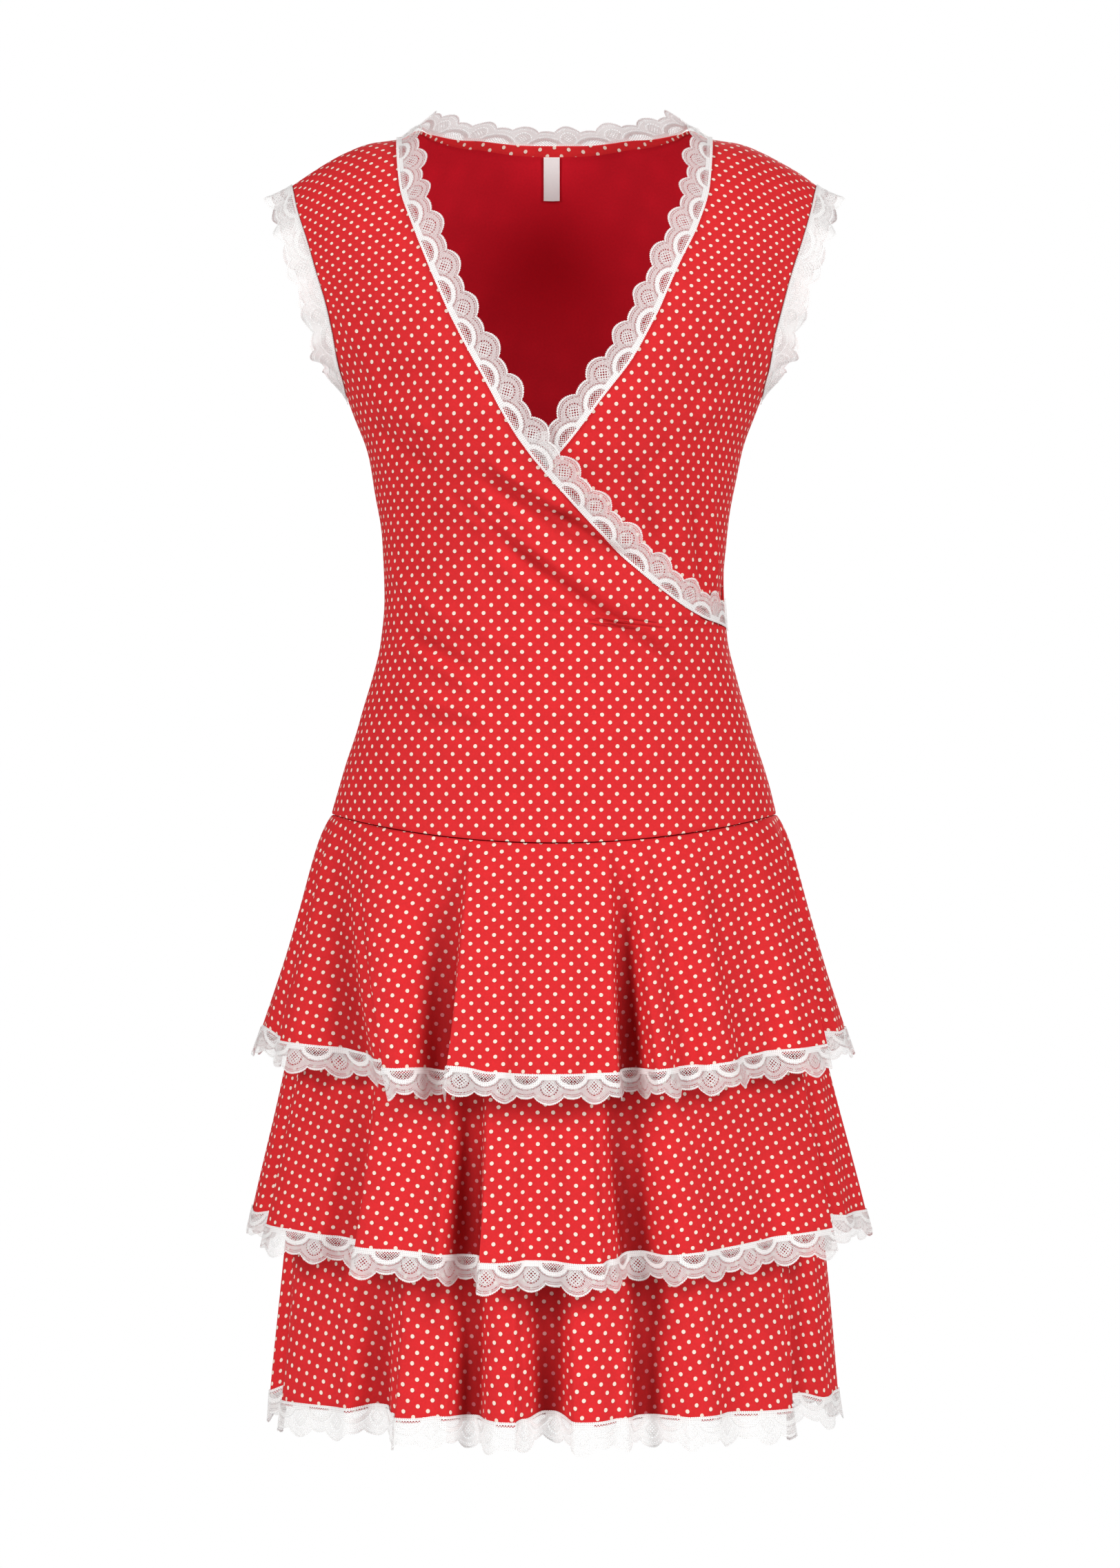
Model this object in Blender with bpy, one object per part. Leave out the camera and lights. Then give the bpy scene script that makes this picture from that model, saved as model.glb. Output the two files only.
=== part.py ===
"""Sleeveless wrap dress with three circle-cut flounces and lace edgings, hollow as when it is worn.

Metres, +Z up. The front faces -Y and +X is the wearer's left. The origin lies midway between the two points
where the shoulder seams meet the neckline. Angles go round the body from the centre front, positive over the
wearer's left, and the centre back is at 180 degrees.
"""

import math

import bpy
import numpy as np

# Thickness and seams
CLOTH = 0.0012
LACE = 0.0008
SEAM_GAP = 0.0003
LACE_LAP = 0.0032
LACE_LIFT = 0.0005
ARMHOLE_LACE_LIFT = 0.0006

# Heights of the body
CHEST_Z = -0.130
UNDERARM_Z = -0.184
WAIST_Z = -0.310
HIP_Z = -0.475
HIP_DIP_FRONT = 0.019
HIP_DIP_BACK = 0.012
WRAP_END_Z = -0.3435
UNDERSKIRT_END_Z = -0.728

# The arch of the shoulder: its exponent, and the drop of one unit of rise below the chest line
SHOULDER_POWER = 1.8
RISE_LENGTH = 0.150

# The outer front lies this far above the under front, and less at the hip seam
WRAP_LIFT = 0.0032
WRAP_LIFT_AT_HIP = 0.0010
UNDERSKIRT_INSET = 0.0021

# Scallops of the lace: one large fan and one small scallop in each repeat
LACE_REPEAT = 0.032
FAN_SHARE = 0.62
FAN_WIDTH = 0.0188
SCALLOP_WIDTH = 0.0145
NOTCH_WIDTH = 0.0128

# Direction of the lace at the points where the shoulder seams meet the neckline, for the wearer's right
NECK_CORNER_STAND = np.array([0.80, 0.0, 0.60])

# Label
LABEL_WIDTH = 0.0118
LABEL_LENGTH = 0.030
LABEL_X = -0.002
LABEL_TOP_Z = -0.0040
LABEL_THICKNESS = 0.0006

RED = (0.72, 0.012, 0.022)
WHITE = (0.86, 0.85, 0.84)


def columns(names, rows):
    """The rows of a short table as one array for each named column."""
    return {name: np.array(column, float) for name, column in zip(names.split(), zip(*rows))}


# Rings of the body under the cloth
RINGS = columns("z half front back", [
    (-0.760, 0.186, 0.137, 0.151),
    (-0.730, 0.184, 0.135, 0.149),
    (-0.665, 0.180, 0.131, 0.146),
    (-0.600, 0.176, 0.127, 0.142),
    (-0.540, 0.168, 0.120, 0.137),
    (-0.495, 0.1605, 0.115, 0.133),
    (-0.475, 0.1565, 0.112, 0.130),
    (-0.441, 0.1470, 0.108, 0.122),
    (-0.412, 0.1380, 0.105, 0.112),
    (-0.382, 0.1290, 0.102, 0.103),
    (-0.353, 0.1220, 0.100, 0.095),
    (-0.310, 0.1195, 0.100, 0.090),
    (-0.280, 0.1215, 0.105, 0.090),
    (-0.251, 0.1260, 0.116, 0.093),
    (-0.222, 0.1315, 0.128, 0.096),
    (-0.193, 0.1415, 0.133, 0.099),
    (-0.178, 0.1480, 0.132, 0.100),
    (-0.164, 0.1560, 0.131, 0.101),
    (-0.135, 0.1690, 0.127, 0.102),
    (-0.105, 0.1810, 0.122, 0.102),
    (-0.076, 0.1930, 0.118, 0.101),
    (-0.047, 0.2030, 0.113, 0.099),
    (0.000, 0.2120, 0.107, 0.097),
    (0.060, 0.2160, 0.103, 0.095),
])

# Top of the shoulder, and inside the neck the line that the back rises towards
SHOULDER_LINE = columns("x z", [
    (0.000, 0.070),
    (0.050, 0.050),
    (0.085, 0.021),
    (0.107, 0.001),
    (0.128, -0.0025),
    (0.150, -0.0110),
    (0.163, -0.018),
    (0.187, -0.034),
    (0.215, -0.052),
])
SHOULDER_TIP_X = 0.187
NECK_POINT_X = 0.108

# Half a seam's gap as an angle at the side seams, and as a rise below the shoulder seam
SEAM_STEP = 0.5 * SEAM_GAP / 0.1
SHOULDER_SEAM_RISE = 1 - 2 * SEAM_GAP / RISE_LENGTH

# Armhole edge between the underarm and the shoulder tip
ARMHOLE = columns("x z", [
    (0.1500, -0.1675),
    (0.1555, -0.1385),
    (0.1630, -0.1090),
    (0.1725, -0.0805),
    (0.1795, -0.0595),
])

# Neck edge of the outer front, from the left side seam up to the shoulder
WRAP_EDGE = columns("x z", [
    (0.1010, -0.3360),
    (0.0755, -0.3190),
    (0.0515, -0.2980),
    (0.0085, -0.2520),
    (-0.0215, -0.2160),
    (-0.0380, -0.1885),
    (-0.0590, -0.1505),
    (-0.0720, -0.1240),
    (-0.0840, -0.0955),
    (-0.0950, -0.0670),
    (-0.1045, -0.0365),
])

# Neck edge of the under front, mirrored, so that it runs the same way
UNDER_EDGE = columns("x z", [
    (0.1010, -0.3360),
    (0.0785, -0.3155),
    (0.0510, -0.2890),
    (0.0215, -0.2510),
    (-0.0075, -0.2190),
    (-0.0270, -0.1935),
    (-0.0510, -0.1615),
    (-0.0680, -0.1300),
    (-0.0830, -0.0955),
    (-0.0960, -0.0680),
    (-0.1050, -0.0365),
])

# Back neckline from the centre to the shoulder
BACK_NECK = columns("x z", [
    (0.0000, 0.0030),
    (0.0305, 0.0035),
    (0.0610, 0.0060),
    (0.0855, 0.0085),
    (0.1005, 0.0060),
])

# Heights of the rows of a front panel below the chest line, and rises of those above it
FRONT_ROWS_Z = (-0.450, -0.426, -0.402, -0.376, -0.3435, -0.3420, -0.3400, -0.3375, -0.3325, -0.3200, -0.3050,
                -0.289, -0.273, -0.257, -0.240, -0.222, -0.204, -0.184, -0.157, -0.130)
BACK_ROWS_Z = (-0.451, -0.426, -0.400, -0.373, -0.342, -0.310, -0.280, -0.250, -0.222, -0.2)
TOP_RISES = (0.20, 0.38, 0.56, 0.72, 0.86)

# Each flounce: seam and hem heights at the sides, how much lower they lie in front and behind, and hem ring
TIERS = {
    1: dict(seam_z=-0.4754, seam_dip_front=0.019, seam_dip_back=0.012, hem_z=-0.6280, hem_dip_front=0.0250,
            hem_dip_back=0.024, half=0.2060, front=0.163, back=0.179),
    2: dict(seam_z=-0.6000, seam_dip_front=0.012, seam_dip_back=0.010, hem_z=-0.7560, hem_dip_front=0.0230,
            hem_dip_back=0.022, half=0.2110, front=0.168, back=0.182),
    3: dict(seam_z=-0.7200, seam_dip_front=0.006, seam_dip_back=0.006, hem_z=-0.8828, hem_dip_front=0.0040,
            hem_dip_back=0.006, half=0.1995, front=0.160, back=0.172),
}

# Folds of the flounces: place on the seam and on the hem, how far the hem stands out there, and where the fold
# ends to its wearer's right and left. Negative heights are the hollows between the flutes.
FOLD_COLUMNS = "seam_deg hem_deg rise_mm right_deg left_deg"
FOLDS = {
    1: columns(FOLD_COLUMNS, [
        (-168, -168, 8, 9, 7),
        (-152, -154, -11, 7, 6),
        (-139, -141, 9, 6, 8),
        (-122, -124, -9, 8, 7),
        (-106, -109, 8, 7, 8),
        (-92, -94, -6, 7, 6),
        (-80, -80, 6, 8, 10),
        (-68, -48, -15, 16, 14),
        (-54, -30.5, 11, 4, 5.5),
        (-25, -23, -18, 5, 4.5),
        (-18, -16.5, 8, 4, 8),
        (0, 0, 5, 12, 12),
        (16, 16, -17, 5, 4),
        (20.5, 20.5, 9, 4, 4.5),
        (25.5, 25.5, -6, 4, 4),
        (31, 31, 10, 5, 7),
        (44, 43, -8, 8, 8),
        (65, 58, 11, 12, 5),
        (76, 69, -10, 7, 8),
        (88, 87, -2, 9, 8),
        (103, 104, -9, 7, 7),
        (117, 118, 9, 8, 7),
        (133, 134, -10, 7, 8),
        (148, 149, 9, 8, 6),
        (164, 164, -8, 7, 7),
    ]),
    2: columns(FOLD_COLUMNS, [
        (-164, -164, -10, 8, 7),
        (-149, -150, 9, 7, 8),
        (-132, -133, -10, 8, 7),
        (-117, -118, 8, 7, 9),
        (-101, -101, -8, 8, 7),
        (-88, -88, 1, 7, 6),
        (-76, -77, -11, 6, 5),
        (-69, -66, 9, 5, 12),
        (-45, -43, -6, 8, 6),
        (-38, -37.5, 9, 4, 6),
        (-19, -18.5, -18, 7, 6),
        (-13, -12, 9, 5, 6),
        (-5, -5, -4, 4, 4),
        (7.5, 8.5, 8, 7, 9),
        (18, 18, -15, 5, 4.5),
        (25.5, 25.5, 10, 5, 8),
        (45, 45, -6, 9, 9),
        (63, 61, 10, 13, 5),
        (73, 71, -10, 7, 7),
        (89, 90, 8, 9, 8),
        (106, 107, -9, 8, 7),
        (122, 123, 8, 8, 8),
        (137, 138, -10, 8, 7),
        (153, 153, 9, 8, 7),
        (170, 170, -7, 8, 8),
    ]),
    3: columns(FOLD_COLUMNS, [
        (-170, -170, 7, 8, 7),
        (-155, -155, -10, 8, 7),
        (-140, -141, 8, 7, 8),
        (-124, -124, -9, 8, 8),
        (-108, -108, 8, 8, 7),
        (-93, -93, -5, 7, 7),
        (-81, -81, -9, 7, 6),
        (-72, -70, 7, 6, 12),
        (-48, -47, -5, 10, 9),
        (-32, -32, 9, 7, 6),
        (-16.5, -16.5, -14, 6, 5),
        (-12, -11, 8, 4, 5),
        (-5.5, -5.5, 8, 5, 4),
        (3, 3.5, -12, 5, 6),
        (13.5, 13.5, 8, 7, 7),
        (24, 24, -13, 6, 5),
        (32, 32, 9, 6, 8),
        (46, 46, -5, 7, 8),
        (56, 55, 8, 12, 4),
        (64, 63, -9, 6, 8),
        (80, 80, 2, 9, 9),
        (97, 97, -8, 8, 7),
        (112, 112, 8, 8, 8),
        (128, 128, -9, 8, 8),
        (144, 144, 8, 8, 8),
        (159, 160, -8, 7, 7),
    ]),
}
FOLD_SPACING_DEG = 2.3
FLOUNCE_STEP_DEG = 8.0
FLOUNCE_DROPS = (0.0, 0.16, 0.55, 1.0)

# A flounce flares fastest just below its seam: the share of its whole flare that is gained there, and how far down
EARLY_FLARE = 0.07
EARLY_FLARE_DROP = 0.16

FRONT = (-0.5 * math.pi, 0.5 * math.pi)
BACK = (0.5 * math.pi, 1.5 * math.pi)


def curve_through(places, values, at):
    """A smooth curve through a few points, which never swings past them and runs on straight beyond its ends."""
    at = np.asarray(at, float)
    steps = np.diff(places)
    slopes = np.diff(values) / steps
    one_way = slopes[:-1] * slopes[1:] > 0
    total = np.where(one_way, slopes[:-1] + slopes[1:], 1.0)
    inner = np.where(one_way, 2 * slopes[:-1] * slopes[1:] / total, 0.0)
    tangents = np.concatenate([slopes[:1], inner, slopes[-1:]])
    cell = np.clip(np.searchsorted(places, at) - 1, 0, len(steps) - 1)
    inside = np.clip(at, places[0], places[-1])
    t = (inside - places[cell]) / steps[cell]
    start = (1 + 2 * t) * (1 - t) ** 2 * values[cell] + t**2 * (3 - 2 * t) * values[cell + 1]
    bend = (t * (1 - t) ** 2 * tangents[cell] + t**2 * (t - 1) * tangents[cell + 1]) * steps[cell]
    end_slope = np.where(at > inside, tangents[-1], tangents[0])
    return start + bend + (at - inside) * end_slope


def ramp(low, high, value):
    """0 below low, 1 above high, and a soft step between them."""
    share = np.clip((value - low) / (high - low), 0, 1)
    return share * share * (3 - 2 * share)


def ring(name, z):
    """A size of the body's ring at height z."""
    return curve_through(RINGS["z"], RINGS[name], z)


def shoulder_z(x):
    return curve_through(SHOULDER_LINE["x"], SHOULDER_LINE["z"], np.abs(x))


def depth(angle, z):
    """Half depth of the ring on the side that the angle faces."""
    return np.where(np.cos(angle) > 0, ring("front", z), ring("back", z))


def body_point(angle, rise):
    """A point of the body's surface. Rise is 0 on the chest line and 1 on the shoulder, and falls below 0."""
    angle, rise = np.broadcast_arrays(np.asarray(angle, float), np.asarray(rise, float))
    turn = 0.5 * math.pi * np.clip(rise, 0, 2)
    up = np.sin(turn) ** (2 / SHOULDER_POWER)
    out = np.sign(np.cos(turn)) * np.abs(np.cos(turn)) ** (2 / SHOULDER_POWER)
    below = CHEST_Z + RISE_LENGTH * np.minimum(rise, 0)
    z = below
    for _ in range(30):
        x = ring("half", z) * np.sin(angle)
        z = below + up * (shoulder_z(x) - CHEST_Z)
    y = -depth(angle, z) * np.cos(angle) * out
    return np.stack([x, y, z], axis=-1)


def rise_at(x, z):
    """The rise of a point of the surface that is seen at x and z."""
    share = np.clip((z - CHEST_Z) / (shoulder_z(x) - CHEST_Z), 0, 1)
    above = np.arcsin(share ** (0.5 * SHOULDER_POWER)) / (0.5 * math.pi)
    return np.where(z > CHEST_Z, above, (z - CHEST_Z) / RISE_LENGTH)


def angle_at(x, z):
    return np.arcsin(np.clip(x / ring("half", z), -1, 1))


def unit(vectors):
    return vectors / np.linalg.norm(vectors, axis=-1, keepdims=True)


def body_normal(angle, rise):
    """The surface's outward normal."""
    step = 1e-4
    across = body_point(angle + step, rise) - body_point(angle - step, rise)
    upward = body_point(angle, rise + step) - body_point(angle, rise - step)
    return unit(np.cross(across, upward))


def edge_angles(edge, end_angle, rise):
    """The angle of a neck edge at each rise: the side seam below the wrap's end, the edge's own line above it."""
    rises = np.concatenate([
        [rise_at(0, WRAP_END_Z)],
        rise_at(edge["x"], edge["z"]),
        [1.0],
    ])
    angles = np.concatenate([
        [end_angle],
        angle_at(edge["x"], edge["z"]),
        [angle_at(-NECK_POINT_X, shoulder_z(NECK_POINT_X))],
    ])
    return np.where(rise <= rises[0], end_angle, curve_through(rises, angles, rise))


def armhole_angles(rise):
    """The angle of the armhole's edge at each rise, and of the side seam below it."""
    tip_z = shoulder_z(SHOULDER_TIP_X)
    rises = np.concatenate([[rise_at(0, UNDERARM_Z)], rise_at(ARMHOLE["x"], ARMHOLE["z"]), [1.0]])
    angles = np.concatenate([
        [0.5 * math.pi],
        angle_at(ARMHOLE["x"], ARMHOLE["z"]),
        [angle_at(SHOULDER_TIP_X, tip_z)],
    ])
    return np.where(rise <= rises[0], 0.5 * math.pi, curve_through(rises, angles, rise))


def hip_z(angle):
    """Height of the hip seam, which dips at the centre front and back."""
    dip = np.where(np.cos(angle) > 0, HIP_DIP_FRONT, HIP_DIP_BACK)
    return HIP_Z - dip * np.cos(angle) ** 2


def dipped(angle, rise):
    """Rows near the hip seam follow its dip, and those above the waist don't."""
    z = CHEST_Z + RISE_LENGTH * rise
    share = np.clip((WAIST_Z - z) / (WAIST_Z - HIP_Z), 0, 1)
    return rise + share * (hip_z(angle) - HIP_Z) / RISE_LENGTH


def wrap_lift(angle, z):
    """How far the outer front stands off the body where it covers the under front."""
    sides = ramp(0, math.radians(35), 0.5 * math.pi - np.abs(angle))
    above = 1 - ramp(-0.205, -0.165, z)
    full = WRAP_LIFT_AT_HIP + (WRAP_LIFT - WRAP_LIFT_AT_HIP) * ramp(HIP_Z, HIP_Z + 0.045, z)
    return full * sides * above


def under_lift(angle, z):
    """The under front lies below the outer front, and level with the body beyond its edge and lace."""
    edge_x = np.concatenate([[ring("half", WRAP_END_Z)], WRAP_EDGE["x"]])[::-1]
    edge_z = np.concatenate([[WRAP_END_Z], WRAP_EDGE["z"]])[::-1]
    above_edge = z - np.interp(ring("half", z) * np.sin(angle), edge_x, edge_z)
    covered = 1 - ramp(0.024, 0.050, above_edge)
    return covered * (wrap_lift(angle, z) - WRAP_LIFT)


def wall(name, outer, inner, colour):
    """One closed solid between two grids of points, with its material."""
    rows, across = outer.shape[:2]
    index = np.arange(rows * across).reshape(rows, across)
    a, b, c, d = index[:-1, :-1], index[:-1, 1:], index[1:, 1:], index[1:, :-1]
    skin = np.concatenate([np.stack([a, b, c], -1).reshape(-1, 3), np.stack([a, c, d], -1).reshape(-1, 3)])
    back = skin[:, ::-1] + rows * across
    border = np.concatenate([index[0, :-1], index[:-1, -1], index[-1, :0:-1], index[:0:-1, 0]])
    after = np.roll(border, -1)
    far = rows * across
    rims = np.concatenate([
        np.stack([after, border, border + far], -1),
        np.stack([after, border + far, after + far], -1),
    ])
    faces = np.concatenate([skin, back, rims])
    points = np.concatenate([outer.reshape(-1, 3), inner.reshape(-1, 3)])
    corners = points[faces]
    volume = np.einsum("ij,ij->i", corners[:, 0], np.cross(corners[:, 1], corners[:, 2])).sum()
    if volume < 0:
        faces = faces[:, ::-1]
    mesh = bpy.data.meshes.new(name)
    mesh.from_pydata(points.tolist(), [], faces.tolist())
    mesh.shade_smooth()
    mesh.set_sharp_from_angle(angle=math.radians(40))
    piece = bpy.data.objects.new(name, mesh)
    bpy.context.scene.collection.objects.link(piece)
    material = bpy.data.materials.new(name)
    material.use_nodes = True
    shader = material.node_tree.nodes["Principled BSDF"]
    shader.inputs["Base Color"].default_value = (*colour, 1)
    shader.inputs["Roughness"].default_value = 0.8
    mesh.materials.append(material)
    return piece


def body_wall(name, angle, rise, lift, colour=RED):
    """A cloth wall on the body's surface, its outer side lifted off it."""
    normal = body_normal(angle, rise)
    outer = body_point(angle, rise) + normal * np.asarray(lift)[..., None]
    return wall(name, outer, outer - normal * CLOTH, colour)


def front_panel(name, edge, mirror, lift, across):
    """A front, from its side seam and armhole to its neck edge. The under front is laid out mirrored."""
    rises = np.concatenate([
        [(HIP_Z - CHEST_Z) / RISE_LENGTH],
        (np.array(FRONT_ROWS_Z) - CHEST_Z) / RISE_LENGTH,
        TOP_RISES,
        [SHOULDER_SEAM_RISE],
    ])
    own_side = SEAM_STEP - armhole_angles(rises)
    neck_side = edge_angles(edge, 0.5 * math.pi, rises)
    neck_side = np.minimum(neck_side, 0.5 * math.pi - SEAM_STEP)
    share = np.linspace(0, 1, across)
    angle = own_side[:, None] + (neck_side - own_side)[:, None] * share
    rise = dipped(angle, np.repeat(rises[:, None], across, axis=1))
    angle = mirror * angle
    z = body_point(angle, rise)[..., 2]
    return body_wall(name, angle, rise, lift(angle, z))


def back_neck_rise(x):
    """Rise of the back neckline at x, which is 1 outside the neck point."""
    places = np.append(BACK_NECK["x"], NECK_POINT_X)
    rises = np.append(rise_at(BACK_NECK["x"], BACK_NECK["z"]), 1.0)
    return np.where(np.abs(x) >= NECK_POINT_X, 1.0, curve_through(places, rises, np.abs(x)))


def back_panel(name):
    """The back, whose rows run from side to side and rise to the neckline and the shoulder seams."""
    low = (HIP_Z - CHEST_Z) / RISE_LENGTH
    tip_angle = angle_at(SHOULDER_TIP_X, shoulder_z(SHOULDER_TIP_X))
    neck_share = angle_at(NECK_POINT_X, shoulder_z(NECK_POINT_X)) / tip_angle
    half = np.concatenate([np.linspace(0, neck_share, 7), np.linspace(neck_share, 1, 6)[1:]])
    share = np.concatenate([-half[:0:-1], half])
    x_top = SHOULDER_TIP_X / np.sin(tip_angle) * np.sin(np.abs(share) * tip_angle)
    top = back_neck_rise(x_top)
    top = np.minimum(top, SHOULDER_SEAM_RISE)
    levels = np.concatenate([
        [low],
        (np.array(BACK_ROWS_Z) - CHEST_Z) / RISE_LENGTH,
        np.linspace(-0.34, 0.0, 3),
        TOP_RISES,
        [1.0],
    ])
    reach = ramp(-0.45, 1.0, levels)[:, None]
    rise = levels[:, None] + reach * (top - 1.0)
    edge = armhole_angles(rise) - SEAM_STEP
    angle = math.pi - share * edge
    rise = dipped(angle, rise)
    return body_wall(name, angle, rise, np.zeros_like(rise))


def hip_rows(span, across, lowest_z, rows):
    """Angles and rises of a skirt panel from the hip seam down."""
    angle = np.linspace(span[0] + SEAM_STEP, span[1] - SEAM_STEP, across)
    top = hip_z(angle) - 2 * SEAM_GAP
    share = np.linspace(0, 1, rows)[:, None]
    z = top + (lowest_z - top) * share
    return np.broadcast_to(angle, z.shape), (z - CHEST_Z) / RISE_LENGTH


def dip(tier, which, angle):
    """How much lower a seam or hem lies at this angle than at the sides."""
    size = np.where(np.cos(angle) > 0, tier[which + "_dip_front"], tier[which + "_dip_back"])
    return size * np.cos(angle) ** 2


def fold_rise(folds, angle_deg):
    """How far the hem stands out at each angle: the sum of the folds, each a soft hump or hollow."""
    total = np.zeros_like(angle_deg)
    for turn in (-360, 0, 360):
        away = angle_deg[..., None] + turn - folds["hem_deg"]
        reach = np.where(away < 0, folds["right_deg"], folds["left_deg"])
        bump = np.cos(0.5 * math.pi * np.clip(away / reach, -1, 1)) ** 2
        total = total + (bump * folds["rise_mm"] * 0.001).sum(axis=-1)
    return total


def seam_angle(folds, angle_deg):
    """The place on the seam that a place on the hem hangs from."""
    hem = np.concatenate([folds["hem_deg"] - 360, folds["hem_deg"], folds["hem_deg"] + 360])
    seam = np.concatenate([folds["seam_deg"] - 360, folds["seam_deg"], folds["seam_deg"] + 360])
    return curve_through(hem, seam, angle_deg)


def flounce_point(number, angle_deg, drop):
    """A point of a flounce, whose ring widens from the seam to a fluted hem. Drop is 0 on the seam, 1 on the hem."""
    tier, folds = TIERS[number], FOLDS[number]
    top_angle = np.radians(seam_angle(folds, angle_deg))
    hem_angle = np.radians(angle_deg)
    angle = top_angle + (hem_angle - top_angle) * drop
    seam_z = tier["seam_z"] - SEAM_GAP - dip(tier, "seam", top_angle)
    hem_z = tier["hem_z"] - dip(tier, "hem", hem_angle)
    facing = np.where(np.cos(hem_angle) > 0, tier["front"], tier["back"])
    early = drop / EARLY_FLARE_DROP
    flare = drop + EARLY_FLARE * early * (np.exp(1 - early) - drop * math.exp(1 - 1 / EARLY_FLARE_DROP))
    half = ring("half", seam_z) * (1 - flare) + tier["half"] * flare
    deep = depth(top_angle, seam_z) * (1 - flare) + facing * flare
    base = np.stack([half * np.sin(angle), -deep * np.cos(angle), seam_z + (hem_z - seam_z) * drop], axis=-1)
    out = unit(np.stack([np.sin(angle) / half, -np.cos(angle) / deep, 0 * angle], axis=-1))
    return base + out * (fold_rise(folds, angle_deg) * drop)[..., None]


def flounce_normal(number, angle_deg, drop):
    step = 0.05
    across = flounce_point(number, angle_deg + step, drop) - flounce_point(number, angle_deg - step, drop)
    down = flounce_point(number, angle_deg, drop + 0.01) - flounce_point(number, angle_deg, drop - 0.01)
    return unit(np.cross(down, across))


def flounce_angles(number, span):
    """Columns of a flounce, in degrees: an even row, and the top and both feet of each fold."""
    start, end = (math.degrees(angle) for angle in span)
    gap = 0.06
    folds = FOLDS[number]
    keys = np.concatenate([folds["hem_deg"], folds["hem_deg"] - folds["right_deg"],
                           folds["hem_deg"] + folds["left_deg"]])
    keys = np.concatenate([keys, keys + 360, np.arange(start, end, FLOUNCE_STEP_DEG)])
    keys = np.sort(keys[(keys > start + FOLD_SPACING_DEG) & (keys < end - FOLD_SPACING_DEG)])
    kept = [start + gap]
    for key in keys:
        if key - kept[-1] >= FOLD_SPACING_DEG:
            kept.append(key)
    hem = np.array(kept + [end - gap])
    seam_steps = np.diff(seam_angle(folds, hem))
    parts = np.ceil(seam_steps / FLOUNCE_STEP_DEG - 0.2).astype(int)
    filled = [np.linspace(low, high, count, endpoint=False)
              for low, high, count in zip(hem[:-1], hem[1:], np.maximum(parts, 1))]
    return np.concatenate(filled + [hem[-1:]])


def flounce(name, number, span):
    angle_deg = flounce_angles(number, span)
    angle_deg, drop = np.broadcast_arrays(angle_deg, np.array(FLOUNCE_DROPS)[:, None])
    outer = flounce_point(number, angle_deg, drop)
    normal = flounce_normal(number, angle_deg, drop)
    return wall(name, outer, outer - normal * CLOTH, RED)


def scallop(length):
    """Free width of the lace at each length along it: a large fan, a notch, a small scallop, a notch."""
    place = (length / LACE_REPEAT) % 1.0
    fan = np.sin(math.pi * np.clip(place / FAN_SHARE, 0, 1))
    small = np.sin(math.pi * np.clip((place - FAN_SHARE) / (1 - FAN_SHARE), 0, 1))
    return NOTCH_WIDTH + (FAN_WIDTH - NOTCH_WIDTH) * fan**0.7 + (SCALLOP_WIDTH - NOTCH_WIDTH) * small**0.7


def between(points):
    """The points of a row with the middle of each step put in."""
    middle = 0.5 * (points[..., :-1, :] + points[..., 1:, :])
    both = np.empty(points.shape[:-2] + (2 * points.shape[-2] - 1, 3))
    both[..., 0::2, :] = points
    both[..., 1::2, :] = middle
    return both


def lengths(points):
    steps = np.linalg.norm(np.diff(points, axis=0), axis=1)
    return np.concatenate([[0.0], np.cumsum(steps)])


def hem_lace(name, number, span):
    """Lace laid on the hem's last millimetres and hanging on past it, from the flounce's own points moved out."""
    angle_deg = flounce_angles(number, span)
    drop = np.ones_like(angle_deg)
    above = flounce_point(number, angle_deg, FLOUNCE_DROPS[-2] * drop)
    hem = flounce_point(number, angle_deg, drop)
    normal = flounce_normal(number, angle_deg, drop)
    down = between(unit(hem - above))
    edge = between(hem + normal * LACE_LIFT)
    normal = between(normal)
    free = scallop(lengths(edge))[:, None]
    inner = np.stack([edge - down * LACE_LAP, edge + down * free])
    return wall(name, inner + normal * LACE, inner, WHITE)


def edge_lace(name, edge, surface_normal, away, stand, lift, waves=0.0):
    """Lace along an edge of the bodice. Away is the surface's own direction past the edge, and stand the
    direction in which the free part goes on."""
    edge = edge + surface_normal * (lift + LACE_LIFT)[:, None]
    length = lengths(edge)
    free = scallop(length)[:, None]
    flutter = waves * np.sin(length * 2 * math.pi / 0.041)[:, None]
    along = unit(np.gradient(edge, axis=0))
    stand = unit(stand)
    out = unit(np.cross(along, stand))
    out = out * np.sign((out * surface_normal).sum(-1, keepdims=True))
    lap = edge - away * LACE_LAP
    fold = edge + away * 0.0006
    tip = fold + stand * free + out * flutter
    inner = np.stack([lap, fold, tip])
    outer = inner + np.stack([surface_normal, unit(surface_normal + out), out]) * LACE
    return wall(name, outer, inner, WHITE)


def edge_frame(angle, rise, towards):
    """Points of an edge of the bodice, the normals there, and the directions past the edge."""
    points = body_point(angle, rise)
    normal = body_normal(angle, rise)
    along = unit(np.gradient(points, axis=0))
    away = unit(np.cross(normal, along))
    away = away * np.sign((away * towards).sum(-1, keepdims=True))
    return points, normal, away


def spaced(angle, rise, step):
    """The same edge with points at even lengths."""
    length = lengths(body_point(angle, rise))
    places = np.linspace(0, length[-1], max(2, round(length[-1] / step)) + 1)
    return np.interp(places, length, angle), np.interp(places, length, rise)


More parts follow.
